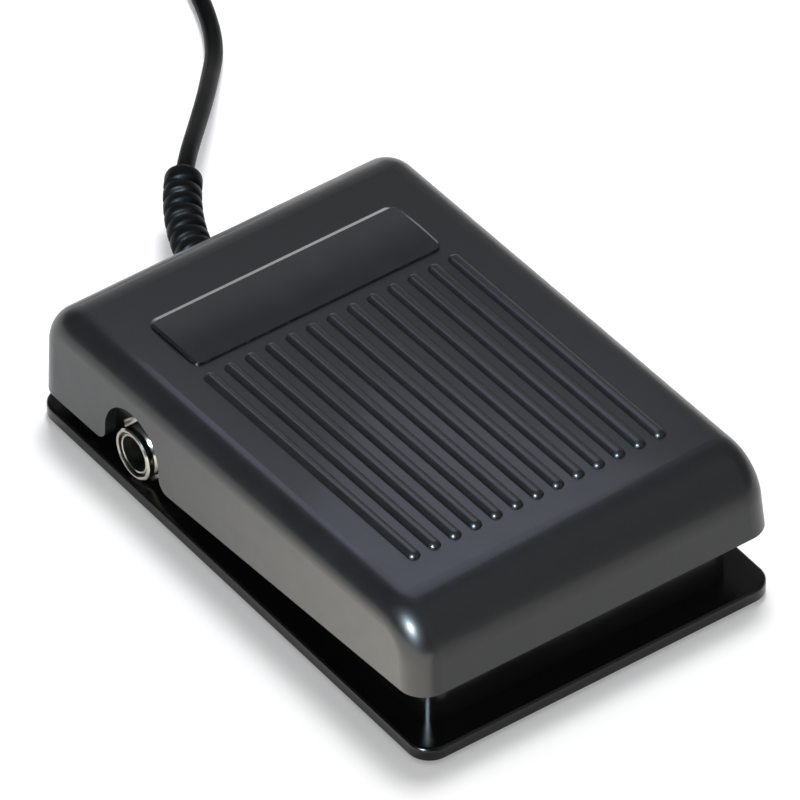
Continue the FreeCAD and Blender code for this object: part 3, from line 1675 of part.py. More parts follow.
LEAD_POINTS = [
    (23.2, 92.9, 5.7),
    (29.8, 99.8, 2.6),
    (35.4, 105.0, 1.65),
    (40.2, 110.2, 1.65),
    (43.9, 116.9, 1.65),
    (49.6, 130.6, 1.65),
]
TAIL_POINTS = [
    (67.4, 177.8, 12.9),
    (67.9, 190.8, 9.7),
    (62.2, 202.5, 6.8),
    (51.2, 209.4, 5.7),
]
PLUG_START = (39.0, 209.4, 5.7)
LEAD_START = 5.5
LEAD_END = 15.0


def make_cord_lead():
    """The stretch that shows: down from the boot, along the floor and to the coil."""
    start, way = boot_place(boot_length())
    end, arrive = coil_place(0)
    points = [start, start + way * LEAD_START]
    points += [FreeCAD.Vector(*point) for point in LEAD_POINTS]
    points += [end - arrive * LEAD_END, end]
    made = tube("cord_lead", points, length_of("cord_radius"), sides=8)
    return shaped("cord_lead", made)


def make_cord_tail():
    """From the end of the coil to the plug that lies behind it."""
    start = coil_place(round(length_of("coil_half_turns")))[0]
    points = [start] + [FreeCAD.Vector(*p) for p in TAIL_POINTS + [PLUG_START]]
    made = tube("cord_tail", points, length_of("cord_radius"), sides=8)
    return shaped("cord_tail", made)


def make_plug():
    """Straight phone plug, lying along -X: handle, sleeve, ring of insulation, tip."""
    tail, handle = size["handle_tail"], size["handle_length"]
    thick, shank, waist = size["handle_radius"], size["plug_radius"], size["plug_waist"]
    ball = size["plug_tip_radius"]
    sleeve = tail + handle
    ring = sleeve + size["plug_sleeve_length"]
    tip = ring + size["plug_ring_length"]
    end = tip + size["plug_tip_length"]
    profiles = {
        "plug_handle": [
            (0, 0),
            (0, size["cord_radius"] + 0.7),
            (tail * 0.85, thick - 1.2),
            (tail, thick),
            (sleeve - 0.8, thick),
            (sleeve, thick - 0.8),
            (sleeve, 0),
        ],
        "plug_sleeve": [(sleeve, 0), (sleeve, shank), (ring, shank), (ring, 0)],
        "plug_insulator": [(ring, 0), (ring, shank), (tip, shank), (tip, 0)],
        "plug_tip": [
            (tip, 0),
            (tip, ball),
            (tip + 2.6, ball),
            (tip + 4.0, waist),
            (tip + 4.8, waist),
            (tip + 5.8, ball),
            (tip + 6.4, ball),
            (end, 0.7),
            (end, 0),
        ],
    }
    pieces = []
    for label, points in profiles.items():
        points = [(-as_size(along), out) for along, out in points]
        pieces.append(turned(label, "x", PLUG_START, points))
    return pieces


nodes = [make_base_tray(), make_treadle_cover(), make_badge_plate()]
for name, side in (("left", -1), ("right", 1)):
    nodes.append(make_hinge_pin(name, side))
    nodes.append(make_hinge_clip(name, side))
    nodes.append(make_return_spring(name, side))
    nodes.append(make_stop_bumper(name, side))
    nodes.append(make_foot(f"front_{name}", side, -1))
    nodes.append(make_foot(f"rear_{name}", side, 1))
nodes += [
    make_switch_case(),
    make_switch_lever(),
    make_switch_plunger(),
    make_switch_terminals(),
    make_switch_screws(),
    make_jack_body(),
    make_jack_bushing(),
    make_jack_washer(),
    make_jack_nut(),
    make_jack_lugs(),
    make_cord_clamp(),
    make_clamp_screws(),
    make_cord_tail_inside(),
    make_signal_wires(),
    make_strain_relief(),
    make_cord_lead(),
    make_cord_coil(),
    make_cord_tail(),
]
nodes += make_plug()
doc.recompute()

for thing in doc.Objects:
    if {"Invalid", "Error"} & set(thing.State):
        raise RuntimeError(f"{thing.Name} failed")
for node in nodes:
    if node.Shape.isNull() or not node.Shape.isValid():
        raise RuntimeError(f"{node.Label} has no sound shape")

rest, pressed = float(lever_rest()), float(size["lever_end"])
travel = float(plunger_centre(lever_rest()) - plunger_centre(size["lever_end"]))
print(f"lever rises {rest:.2f} degrees at rest, {pressed:.2f} pressed")
print(f"plunger travels {travel:.3f} mm")

os.makedirs("parts", exist_ok=True)
for node in nodes:
    node.Shape.exportStep(f"parts/{node.Label}.step")
print(f"{len(nodes)} nodes written")
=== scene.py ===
# %% [markdown]
# # A foot pedal switch, dressed over its CAD frame
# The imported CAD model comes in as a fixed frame, in metres: +X is to the right, -Y is the
# free end that the foot presses, and the rubber feet stand on z = 0. Every piece below is
# placed by that frame, gets a finish of its own, and rides on one of its bodies. Lengths
# named in capitals are in millimetres unless their line says otherwise.

# %% Load the frame
import json
import math

import bmesh
import bpy
from mathutils import Matrix, Vector


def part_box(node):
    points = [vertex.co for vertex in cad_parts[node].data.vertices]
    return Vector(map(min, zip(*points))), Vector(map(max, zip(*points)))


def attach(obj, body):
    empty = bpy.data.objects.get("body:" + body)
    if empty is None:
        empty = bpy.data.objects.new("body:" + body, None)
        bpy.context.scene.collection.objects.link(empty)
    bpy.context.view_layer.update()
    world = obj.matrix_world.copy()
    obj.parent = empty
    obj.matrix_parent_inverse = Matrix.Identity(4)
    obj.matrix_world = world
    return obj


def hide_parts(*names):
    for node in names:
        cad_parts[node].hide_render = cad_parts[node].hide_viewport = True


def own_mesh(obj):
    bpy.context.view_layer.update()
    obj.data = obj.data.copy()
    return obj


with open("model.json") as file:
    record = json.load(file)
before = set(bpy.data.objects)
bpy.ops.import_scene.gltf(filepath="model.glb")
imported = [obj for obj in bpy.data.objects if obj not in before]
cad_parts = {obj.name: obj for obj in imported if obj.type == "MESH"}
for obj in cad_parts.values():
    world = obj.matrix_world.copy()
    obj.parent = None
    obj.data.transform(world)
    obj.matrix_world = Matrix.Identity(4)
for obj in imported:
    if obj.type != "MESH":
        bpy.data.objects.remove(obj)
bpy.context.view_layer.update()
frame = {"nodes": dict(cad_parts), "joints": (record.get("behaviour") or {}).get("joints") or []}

nodes = frame["nodes"]
MM = 0.001

# %% [markdown]
# ## The camera
# The photograph was taken from far away: parallel edges stay nearly parallel. So the
# camera is a long lens almost three metres off, turned to the left of the pedal's front
# and looking down on it by 42 degrees. Its place follows from the two angles, a distance
# and the point that falls on the picture's middle.

# %% Place the camera
CAMERA_TURN = math.radians(-36.19)
CAMERA_RISE = math.radians(41.89)
CAMERA_AWAY = 2.843  # metres
CAMERA_AIM = Vector((5.92, 9.29, 13.26))
CAMERA_LENS = 765
CAMERA_SENSOR = 36

back = Vector((
    math.sin(CAMERA_TURN) * math.cos(CAMERA_RISE),
    -math.cos(CAMERA_TURN) * math.cos(CAMERA_RISE),
    math.sin(CAMERA_RISE),
))
bpy.ops.object.camera_add(location=CAMERA_AIM * MM + back * CAMERA_AWAY)
camera = bpy.context.object
camera.rotation_euler = back.to_track_quat("Z", "Y").to_euler()
camera.data.lens = CAMERA_LENS
camera.data.sensor_width = CAMERA_SENSOR
bpy.context.scene.camera = camera
print("camera at", [round(c, 3) for c in camera.location])

# %% [markdown]
# ## The cord's route
# The cord is a limp lead of 3.2 mm with a soft jacket, 1.7 m long, as such pedals have.
# It leaves the curved boot behind the pedal, comes down to the floor within a few
# centimetres and runs off to the back right, out of the picture. The rest is put away as
# a neat coil of thirteen turns in four layers, with a straight phone plug beside it. The
# boot's middle line comes first, because the cord starts at its tip and goes on the same
# way.

# %% Middle line of the boot
BOOT_ROOT = Vector((0, 50.4, 10.0))
BOOT_LONG = 32.6
BOOT_TURN = math.radians(42.7)
BOOT_EASE = 0.16
BOOT_RISE = 1.0
BOOT_STEPS = 60


def boot_line():
    """The boot's middle line: it turns most near the wall and rises a little."""
    spots = [BOOT_ROOT.copy()]
    for step in range(BOOT_STEPS):
        share = (step + 0.5) / BOOT_STEPS
        turn = BOOT_TURN * share * (1 + BOOT_EASE * (1 - share))
        climb = 2 * BOOT_RISE * share / BOOT_LONG
        way = Vector((math.sin(turn), math.cos(turn), climb))
        spots.append(spots[-1] + way * BOOT_LONG / BOOT_STEPS)
    return spots


boot_spots = boot_line()
boot_tip = boot_spots[-1]
boot_way = (boot_tip - boot_spots[-2]).normalized()
print("boot's tip at", [round(c, 1) for c in boot_tip])

# %% [markdown]
# The route's points are listed up to the coil and after it. Each half turn of the
# coil is worked out as a tilted half circle between two points of a spiral. A layer winds
# inwards, the next one on top of it winds outwards, and where one climbs to the next the
# cord steps aside a little.

# %% Route points of the cord
CORD_RADIUS = 1.6
CORD_STRAIGHT = 4.0
FLOOR_GAP = 0.05
LEAD_POINTS = [
    (23.9, 92.1, 8.0),
    (30.4, 99.0, 5.7),
    (35.0, 104.3, 3.7),
    (39.9, 109.8, 2.0),
    (43.4, 115.2, 1.65),
    (46.3, 121.6, 1.65),
    (49.9, 132.4, 1.65),
    (56.5, 149.755, 1.65),
]
TAIL_POINTS = [
    (67.4, 177.8, 12.9),
    (67.9, 190.8, 9.7),
    (62.2, 202.5, 6.8),
    (51.2, 209.4, 5.7),
    (39.0, 209.4, 5.7),
]
COIL_CENTRE = Vector((40.0, 174.0, CORD_RADIUS + FLOOR_GAP))
COIL_START = math.radians(-25)
COIL_OUTER = 25.2
COIL_STEP = 1.9
COIL_EASE = 0.5
COIL_LAYER = 3.75
HALF_TURNS = 26
HALF_TURNS_PER_LAYER = 7
POINTS_PER_HALF_TURN = 8


def coil_place(step):
    """A point of the coil after some half turns, and the way that the cord goes there."""
    layer, place = divmod(step, HALF_TURNS_PER_LAYER)
    last = HALF_TURNS_PER_LAYER - 1
    inwards = place if layer % 2 == 0 else last - place
    radius = COIL_OUTER - COIL_STEP * inwards
    if inwards == last:
        radius -= COIL_EASE
    if inwards == 0 and step > 0:
        radius += COIL_EASE
    side = 1 if step % 2 == 0 else -1
    outwards = Vector((math.cos(COIL_START), math.sin(COIL_START), 0)) * side
    centre = COIL_CENTRE + Vector((0, 0, COIL_LAYER * layer))
    return centre + outwards * radius, Vector((-outwards.y, outwards.x, 0))


def coil_points():
    """The coil's points, one tilted half circle after another."""
    points = []
    for step in range(HALF_TURNS):
        start, way = coil_place(step)
        end = coil_place(step + 1)[0]
        middle = (start + end) / 2
        for part in range(POINTS_PER_HALF_TURN):
            turn = math.pi * part / POINTS_PER_HALF_TURN
            reach = (start - middle) * math.cos(turn)
            points.append(middle + reach + way * (end - start).length / 2 * math.sin(turn))
    points.append(coil_place(HALF_TURNS)[0])
    return points


route = [boot_tip, boot_tip + boot_way * CORD_STRAIGHT]
route += [Vector(point) for point in LEAD_POINTS]
route += coil_points()
route += [Vector(point) for point in TAIL_POINTS]
print(f"{len(route)} route points")

# %% [markdown]
# One NURBS spline follows the route and gives the cord its long easy curves. A round
# bevel makes the jacket: it is one metre deep, and the radius of each point scales that
# down to the cord's own.

# %% Draw the cord as one spline
def open_spline(name, points, radius, bevel_steps, curve_steps):
    """A round tube along one open NURBS spline; points and radius are in millimetres."""
    curve = bpy.data.curves.new(name, "CURVE")
    curve.dimensions = "3D"
    curve.resolution_u = curve_steps
    curve.bevel_depth = 1.0
    curve.bevel_resolution = bevel_steps
    curve.use_fill_caps = True
    spline = curve.splines.new("NURBS")
    spline.points.add(len(points) - 1)
    for control, point in zip(spline.points, points):
        control.co = (*(Vector(point) * MM), 1)
        control.radius = radius * MM
    spline.order_u = 3
    spline.use_endpoint_u = True
    piece = bpy.data.objects.new(name, curve)
    bpy.context.collection.objects.link(piece)
    return piece


cord = open_spline("cord", route, CORD_RADIUS, bevel_steps=4, curve_steps=6)
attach(cord, "base")
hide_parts("cord_lead", "cord_coil", "cord_tail")
print("cord ends at", [round(c, 1) for c in route[-1]])

# %% [markdown]
# ## Colours and nodes
# Every colour below is written as a painter would read it off a screen, in sRGB hex, and
# one function turns it into the linear numbers that the shaders use. One more function
# adds a shader node with its settings and links. Sums, products and ranges are nodes like
# any other, and each is handed on to the next one as a value.

# %% Helpers for nodes
def linear(code):
    """An sRGB hex colour as linear red, green, blue and an alpha of one."""
    channels = [int(code[place:place + 2], 16) / 255 for place in (1, 3, 5)]
    bent = [c / 12.92 if c <= 0.04045 else ((c + 0.055) / 1.055) ** 2.4 for c in channels]
    return (*bent, 1.0)


def add_node(tree, kind, values=None):
    """A new shader node. A value that is a node, or one output of a node, is linked, and
    any other value sets the socket or the property of that name."""
    node = tree.nodes.new(kind)
    for name, value in (values or {}).items():
        if isinstance(value, bpy.types.Node):
            value = value.outputs[0]
        if isinstance(value, bpy.types.NodeSocket):
            tree.links.new(value, node.inputs[name])
        elif isinstance(name, int) or name in node.inputs:
            node.inputs[name].default_value = value
        else:
            setattr(node, name, value)
    return node


print("mid grey #808080 is", round(linear("#808080")[0], 3), "in linear light")

# %% [markdown]
# ## Floor and background
# The photograph is a product shot on white. The floor is one large plane that stands for a
# pale matt sheet. Such paper mirrors nothing, so its material starts from a plain diffuse
# shader.

# %% Lay the floor
FLOOR_METRES = 12
FLOOR_SHADE = "#e6e6e6"

bpy.ops.mesh.primitive_plane_add(size=FLOOR_METRES, location=(0, 0, 0))
floor = bpy.context.object
floor.name = "floor"
paper = bpy.data.materials.new("matt_paper_floor")
paper.use_nodes = True
tree = paper.node_tree
tree.nodes.remove(tree.nodes["Principled BSDF"])
sheet = add_node(tree, "ShaderNodeBsdfDiffuse", {"Color": linear(FLOOR_SHADE)})
floor.data.materials.append(paper)
print("the floor is", FLOOR_METRES, "metres wide")

# %% [markdown]
# A little light of its own, for the camera, in reflections and through clear things, makes
# the sheet look pure white except where the pedal shades it. The treadle's left wall
# mirrors the sheet to its left: for reflections alone, a warm bright glow is painted on the
# sheet there, most of all towards the front, as a painted reflection in that wall. Two range
# nodes, one in the other, draw that painted strip.

# %% Light of the floor's own
FLOOR_LIFT = 0.24
# Painted reflection: a warm glow on the floor that only glossy rays see, for the left wall
PAINTED_REFLECTION_COLOUR = "#fff8e4"
# Metres along X, from full strength to none
PAINTED_REFLECTION_ACROSS = {"From Min": -0.046, "From Max": -0.037, "To Max": 0.0}
# Metres along Y, from the front's strength to the rear's
PAINTED_REFLECTION_ALONG = {"From Min": -0.045, "From Max": 0.045, "To Min": 1.56, "To Max": 0.06}

rays = add_node(tree, "ShaderNodeLightPath").outputs
place = add_node(tree, "ShaderNodeTexCoord").outputs["Object"]
spot = add_node(tree, "ShaderNodeSeparateXYZ", {"Vector": place}).outputs
along = add_node(tree, "ShaderNodeMapRange", {"Value": spot["Y"], **PAINTED_REFLECTION_ALONG})
painted_reflection_strength = add_node(tree, "ShaderNodeMapRange", {
    "Value": spot["X"], "To Min": along, **PAINTED_REFLECTION_ACROSS,
})
painted_reflection_strength = add_node(tree, "ShaderNodeMath", {
    "operation": "MULTIPLY", 0: painted_reflection_strength, 1: rays["Is Glossy Ray"],
})
# The painted reflection's glow, which shows in reflections only
warm = add_node(tree, "ShaderNodeEmission", {
    "Color": linear(PAINTED_REFLECTION_COLOUR), "Strength": painted_reflection_strength,
})
seen = add_node(tree, "ShaderNodeMath", {
    "operation": "ADD", 0: rays["Is Camera Ray"], 1: rays["Is Glossy Ray"],
})
seen = add_node(tree, "ShaderNodeMath", {
    "operation": "ADD", 0: seen, 1: rays["Is Transmission Ray"],
})
lift = add_node(tree, "ShaderNodeMath", {"operation": "MULTIPLY", 0: seen, 1: FLOOR_LIFT})
glow = add_node(tree, "ShaderNodeEmission", {"Strength": lift})
surface = add_node(tree, "ShaderNodeAddShader", {0: sheet, 1: glow})
surface = add_node(tree, "ShaderNodeAddShader", {0: surface, 1: warm})
tree.links.new(surface.outputs[0], tree.nodes["Material Output"].inputs["Surface"])
print(len(tree.nodes), "nodes in the floor's material")

# %% [markdown]
# The room is white to the camera and lights the pedal evenly from all sides. In
# reflections it is brighter behind the pedal, low down, dimmer in front and to the far
# right, and dark above and at the left: so the rims that turn to the left come out dark,
# between the sheen of the top and the brighter left wall. A colour ramp over the height
# comes first: it is what shows behind the pedal.

# %% Shades of the room by height
SHADES_BY_HEIGHT = {
    0.0: "#ffffff", 0.04: "#acacac", 0.08: "#808080", 0.15: "#747474",
    0.40: "#686868", 0.58: "#606060", 0.67: "#3e3e3e", 1.0: "#303030",
}

world = bpy.data.worlds.new("white_room")
bpy.context.scene.world = world
world.use_nodes = True
tree = world.node_tree
direction = add_node(tree, "ShaderNodeTexCoord").outputs["Generated"]
aim = add_node(tree, "ShaderNodeSeparateXYZ", {"Vector": direction}).outputs
fading = add_node(tree, "ShaderNodeValToRGB", {"Fac": aim["Z"]})
shades = fading.color_ramp.elements
for number, (height, code) in enumerate(SHADES_BY_HEIGHT.items()):
    if number < 2:  # a new ramp has two elements
        shade = shades[number]
        shade.position = height
    else:
        shade = shades.new(height)
    shade.color = linear(code)
print(len(shades), "shades from the horizon up")

# %% [markdown]
# The strength then changes with the direction: from the front to the back, and from the
# left over the middle to the right. Only reflections show that. The light on matt surfaces
# is even, and the camera sees plain white.

# %% Strength of the room by direction and by kind of ray
WHITE = "#ffffff"
SKY_LIGHT = 0.42
HORIZON_STRENGTH = 4.0
FRONT_TO_BACK = {"From Min": -0.2, "From Max": 0.3, "To Min": 0.46}
LEFT_TO_MIDDLE = {"From Min": -0.05, "From Max": 0.25, "To Min": 0.07}
MIDDLE_TO_RIGHT = {"From Min": 0.42, "From Max": 0.80, "To Min": 1.0, "To Max": 0.35}

behind = add_node(tree, "ShaderNodeMath", {
    "operation": "MULTIPLY", 0: fading, 1: HORIZON_STRENGTH,
})
room = add_node(tree, "ShaderNodeMapRange", {
    "Value": aim["Y"], "To Max": behind, **FRONT_TO_BACK,
})
room = add_node(tree, "ShaderNodeMapRange", {
    "Value": aim["X"], "To Max": room, **LEFT_TO_MIDDLE,
})
right = add_node(tree, "ShaderNodeMapRange", {"Value": aim["X"], **MIDDLE_TO_RIGHT})
room = add_node(tree, "ShaderNodeMath", {"operation": "MULTIPLY", 0: room, 1: right})
rays = add_node(tree, "ShaderNodeLightPath").outputs
mirrored = add_node(tree, "ShaderNodeMath", {
    "operation": "MULTIPLY", 0: room, 1: rays["Is Glossy Ray"],
})
spread = add_node(tree, "ShaderNodeMath", {
    "operation": "MULTIPLY", 0: rays["Is Diffuse Ray"], 1: SKY_LIGHT,
})
seen = add_node(tree, "ShaderNodeMath", {
    "operation": "ADD", 0: rays["Is Camera Ray"], 1: rays["Is Transmission Ray"],
})
lit = add_node(tree, "ShaderNodeMath", {"operation": "ADD", 0: mirrored, 1: spread})
lit = add_node(tree, "ShaderNodeMath", {"operation": "ADD", 0: lit, 1: seen})
background = tree.nodes["Background"]
background.inputs["Color"].default_value = linear(WHITE)
tree.links.new(lit.outputs[0], background.inputs["Strength"])
bpy.context.scene.view_settings.view_transform = "Standard"
print(len(tree.nodes), "nodes in the room's background")

# %% [markdown]
# ## Light
# A large soft lamp stands high behind the right side and drops a short shadow to the left
# and the front. Two weak lamps close above the top spread its bluish sheen, and a lamp at
# the front left leaves the glints on the rounded corner and the ribs' ends: it lights no
# matt surface, so that it adds no second shadow.

# %% Lamps
LAMP_AIM = Vector((0, 10, 12))
SHEEN = "#dbe4ff"
GLINT = "#d8f0ff"


def soft_lamp(name, place, size, power, colour):
    """A rectangular lamp that faces the pedal. Sizes are in metres, power in watts."""
    bpy.ops.object.light_add(type="AREA", location=place)
    lamp = bpy.context.object
    lamp.name = name
    lamp.data.shape = "RECTANGLE"
    lamp.data.size, lamp.data.size_y = size
    lamp.data.energy = power
    lamp.data.color = linear(colour)[:3]
    lamp.visible_camera = False
    away = Vector(place) - LAMP_AIM * MM
    lamp.rotation_euler = away.to_track_quat("Z", "Y").to_euler()
    return lamp


key = soft_lamp(
    "key_lamp", place=(0.22, 0.24, 1.14), size=(0.28, 0.28), power=9.6, colour=WHITE
)
key.visible_glossy = False
soft_lamp(
    "sheen_lamp", place=(0.024, 0.0225, 0.100), size=(0.064, 0.069),
    power=0.0215, colour=SHEEN,
)
soft_lamp(
    "margin_lamp", place=(-0.008, 0.066, 0.100), size=(0.028, 0.050),
    power=0.0095, colour=SHEEN,
)
glint = soft_lamp(
    "front_glint", place=(-0.94, -0.42, 0.79), size=(0.24, 0.24), power=62.0, colour=GLINT
)
glint.visible_diffuse = False

# %% [markdown]
# ## Finishes
# No real surface has one flat colour. A fine noise drifts each material's colour and lifts
# its skin by at most a few hundredths of a millimetre, and a broader one lets its roughness
# change from patch to patch, as moulding and handling do.

# %% Helpers for materials
NOISE_SPAN = (0.3, 0.7)  # most of a noise's values lie between these
NOISE_ROUGHNESS = 0.6
FINE_DETAIL = 3.0
BROAD_DETAIL = 2.0
BROAD_GRAINS = 9
RELIEF_STRENGTH = 0.5


def new_material(name, **settings):
    """A material whose one principled shader has some settings of its own."""
    material = bpy.data.materials.new(name)
    material.use_nodes = True
    shader = material.node_tree.nodes["Principled BSDF"]
    for socket, value in settings.items():
        shader.inputs[socket.replace("_", " ")].default_value = value
    return material


def mottle(material, colours, grain, roughness, relief):
    """Drifts the colour, the roughness and the relief; grain and relief are in mm."""
    tree = material.node_tree
    shader = tree.nodes["Principled BSDF"]
    place = add_node(tree, "ShaderNodeTexCoord").outputs["Object"]
    fine = add_node(tree, "ShaderNodeTexNoise", {
        "Scale": 1 / (grain * MM),
        "Detail": FINE_DETAIL,
        "Roughness": NOISE_ROUGHNESS,
        "Vector": place,
    }).outputs["Fac"]
    ramp = add_node(tree, "ShaderNodeValToRGB", {"Fac": fine})
    for element, position, code in zip(ramp.color_ramp.elements, NOISE_SPAN, colours):
        element.position = position
        element.color = linear(code)
    broad = add_node(tree, "ShaderNodeTexNoise", {
        "Scale": 1 / (grain * BROAD_GRAINS * MM),
        "Detail": BROAD_DETAIL,
        "Vector": place,
    }).outputs["Fac"]
    patches = add_node(tree, "ShaderNodeMapRange", {
        "Value": broad,
        "From Min": NOISE_SPAN[0],
        "From Max": NOISE_SPAN[1],
        "To Min": roughness[0],
        "To Max": roughness[1],
    })
    bump = add_node(tree, "ShaderNodeBump", {
        "Strength": RELIEF_STRENGTH,
        "Distance": relief * MM,
        "Height": fine,
    })
    tree.links.new(ramp.outputs["Color"], shader.inputs["Base Color"])
    tree.links.new(patches.outputs["Result"], shader.inputs["Roughness"])
    tree.links.new(bump.outputs["Normal"], shader.inputs["Normal"])


print("roughness drifts over patches of", BROAD_GRAINS, "grains")

# %% [markdown]
# The treadle is ABS, moulded in a spark-eroded steel tool: its skin has a fine grain, so
# highlights spread into a soft bluish sheen. The real grain is too fine to show, and is
# drawn 0.45 mm wide. The base is the same plastic from a polished tool, near black, and it
# mirrors the white room along its edges.

# %% Moulded plastics
satin_abs = new_material(
    "satin_moulded_abs",
    IOR=1.53,
    Specular_IOR_Level=0.39,
    Coat_Weight=0.25,
    Coat_Roughness=0.12,
)
mottle(satin_abs, ("#141416", "#19191b"), grain=0.45, roughness=(0.35, 0.40), relief=0.012)

gloss_abs = new_material("polished_moulded_abs", IOR=1.53, Specular_IOR_Level=0.3)
mottle(gloss_abs, ("#101010", "#141415"), grain=2.2, roughness=(0.14, 0.24), relief=0.002)
print("plastics:", satin_abs.name, gloss_abs.name)

# %% [markdown]
# The badge is a separate glossy plate, a touch lighter than the base. Its place for words
# is left bare. The switch's housing is a thermoplastic polyester with a matt skin, which
# the plug's handle has too, and the switch's button is a natural nylon, slightly yellow.

# %% Badge, switch housing and button
badge_gloss = new_material("polished_acrylic", IOR=1.49)
mottle(badge_gloss, ("#1c1d1f", "#212225"), grain=5.0, roughness=(0.07, 0.12), relief=0.001)

case_pbt = new_material("matt_switch_polyester", IOR=1.57)
mottle(case_pbt, ("#202226", "#2a2c30"), grain=0.3, roughness=(0.48, 0.6), relief=0.01)

natural_nylon = new_material("natural_nylon", IOR=1.53)
mottle(natural_nylon, ("#c9c0a6", "#d8d0ba"), grain=0.5, roughness=(0.38, 0.48), relief=0.006)
print("small plastics:", badge_gloss.name, case_pbt.name, natural_nylon.name)

# %% [markdown]
# The jack's bushing, nut and washer are brass with a bright nickel plate, a warm grey
# mirror that handling has dulled a little. Pins and screws are zinc plated steel, bluer
# and duller. The springs are bare steel wire, and the solder lugs are tinned brass.

# %% Metals
nickel = new_material("nickel_plated_brass", Metallic=1.0)
mottle(nickel, ("#98958c", "#aeaba2"), grain=0.35, roughness=(0.14, 0.24), relief=0.004)

steel = new_material("zinc_plated_steel", Metallic=1.0)
mottle(steel, ("#a3a6aa", "#bcbfc2"), grain=0.6, roughness=(0.28, 0.4), relief=0.006)

spring_wire = new_material("spring_steel_wire", Metallic=1.0)
mottle(spring_wire, ("#77797d", "#94969a"), grain=0.5, roughness=(0.3, 0.42), relief=0.004)

tinned_brass = new_material("tinned_brass", Metallic=1.0)
mottle(tinned_brass, ("#b8b3a4", "#cfcbbd"), grain=0.4, roughness=(0.35, 0.5), relief=0.008)
print("metals:", nickel.name, steel.name, spring_wire.name, tinned_brass.name)

# %% [markdown]
# The feet and stop pads are moulded rubber with a dry, dusty surface. The boot and the
# cord's jacket are soft black PVC: smoother, with a dull highlight along the top. The
# wires inside have a red PVC jacket.

# %% Rubber, cord and wires
foot_rubber = new_material("moulded_rubber", IOR=1.5)
mottle(foot_rubber, ("#161616", "#222220"), grain=0.5, roughness=(0.6, 0.75), relief=0.03)

cord_pvc = new_material("soft_black_pvc", IOR=1.46, Specular_IOR_Level=0.12)
mottle(cord_pvc, ("#070708", "#0c0d0e"), grain=0.8, roughness=(0.40, 0.50), relief=0.02)

wire_pvc = new_material("wire_insulation_pvc", IOR=1.52)
mottle(wire_pvc, ("#8f2622", "#a3302a"), grain=0.6, roughness=(0.35, 0.45), relief=0.006)
print("soft:", foot_rubber.name, cord_pvc.name, wire_pvc.name)

# %% [markdown]
# Every CAD node came in with a plain material for each slot of its record. The finishes
# take the slots over by name, on the nodes that stay as CAD made them too.

# %% Dress the CAD nodes
FINISHES = {
    "treadle_satin": satin_abs,
    "base_gloss": gloss_abs,
    "badge_gloss": badge_gloss,
    "nickel": nickel,
    "steel": steel,
    "spring_steel": spring_wire,
    "rubber": foot_rubber,
    "cord_rubber": cord_pvc,
    "case_plastic": case_pbt,
    "plunger_plastic": natural_nylon,
    "tinned_brass": tinned_brass,
    "wire_insulation": wire_pvc,
}
for node in nodes.values():
    for holder in node.material_slots:
        holder.material = FINISHES[holder.material.name.split(".")[0]]
cord.data.materials.append(cord_pvc)
print(f"{len(FINISHES)} finishes")

# %% [markdown]
# ## Round pieces
# The boot, the jack's bushing, the plug and the feet are all round. Each starts as a flat
# disc, and its face is extruded and resized ring by ring up the Z axis, as on a lathe.
# Operators act on all that is selected, and loading the frame leaves its nodes selected,
# so everything is deselected first.

# %% Helpers for round pieces
def deselect():
    """Leaves edit mode and drops every selection."""
    if bpy.context.object and bpy.context.object.mode != "OBJECT":
        bpy.ops.object.mode_set(mode="OBJECT")
    bpy.ops.object.select_all(action="DESELECT")


def select_only(piece):
    """Makes one piece the only one that the next operator acts on."""
    deselect()
    piece.select_set(True)
    bpy.context.view_layer.objects.active = piece


def ringed(name, rings, sides=48):
    """A round solid up the Z axis; each ring is a height and a radius in millimetres."""
    deselect()
    height, radius = rings[0]
    bpy.ops.mesh.primitive_circle_add(
        vertices=sides, radius=radius * MM, fill_type="NGON", location=(0, 0, 0)
    )
    piece = bpy.context.object
    piece.name = name
    bpy.ops.object.mode_set(mode="EDIT")
    bpy.ops.mesh.select_all(action="SELECT")
    bpy.ops.transform.translate(value=(0, 0, height * MM))
    for next_height, next_radius in rings[1:]:
        rise = (next_height - height) * MM
        ratio = next_radius / radius
        bpy.ops.mesh.extrude_region_move(TRANSFORM_OT_translate={"value": (0, 0, rise)})
        bpy.ops.transform.resize(
            value=(ratio, ratio, 1), center_override=(0, 0, next_height * MM)
        )
        height, radius = next_height, next_radius
    bpy.ops.mesh.select_all(action="SELECT")
    bpy.ops.mesh.normals_make_consistent(inside=False)
    bpy.ops.object.mode_set(mode="OBJECT")
    return piece


deselect()
print(len(bpy.context.selected_objects), "objects selected")

# %% [markdown]
# A shaped piece is turned and moved to its place, and that is applied, so that the object
# itself stays at the origin. Then it is shaded smooth and gets its body and its finish, and
# the CAD node that it stands for is hidden.

# %% Helpers to finish a piece
def settle(piece, place, turn=(0, 0, 0)):
    """Turns a piece, moves it to its place in millimetres, and applies both."""
    select_only(piece)
    piece.rotation_euler = turn
    piece.location = Vector(place) * MM
    bpy.ops.object.transform_apply(location=True, rotation=True, scale=True)


def smooth(piece, degrees=35):
    """Smooth shading, with edges kept crisp above an angle."""
    select_only(piece)
    bpy.ops.object.shade_smooth_by_angle(angle=math.radians(degrees))


def dress(piece, body, slot, node):
    """Gives a finished piece its body and its finish, and hides the CAD node that it stands for.
    """
    piece.data.materials.clear()
    piece.data.materials.append(FINISHES[slot])
    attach(piece, body)
    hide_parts(node)
    print(piece.name, "is", [round(side / MM, 1) for side in piece.dimensions], "mm")


# %% [markdown]
# ## The strain relief boot
# The real boot is one soft moulding with rounded grooves, deeper on the left and on the
# right by turns, so that it bends evenly: from above, a short bright streak follows each
# groove. It is modelled straight, with a flange and a neck that hold it in the pedal's
# wall. Where a groove will be, its rings lie closer together.

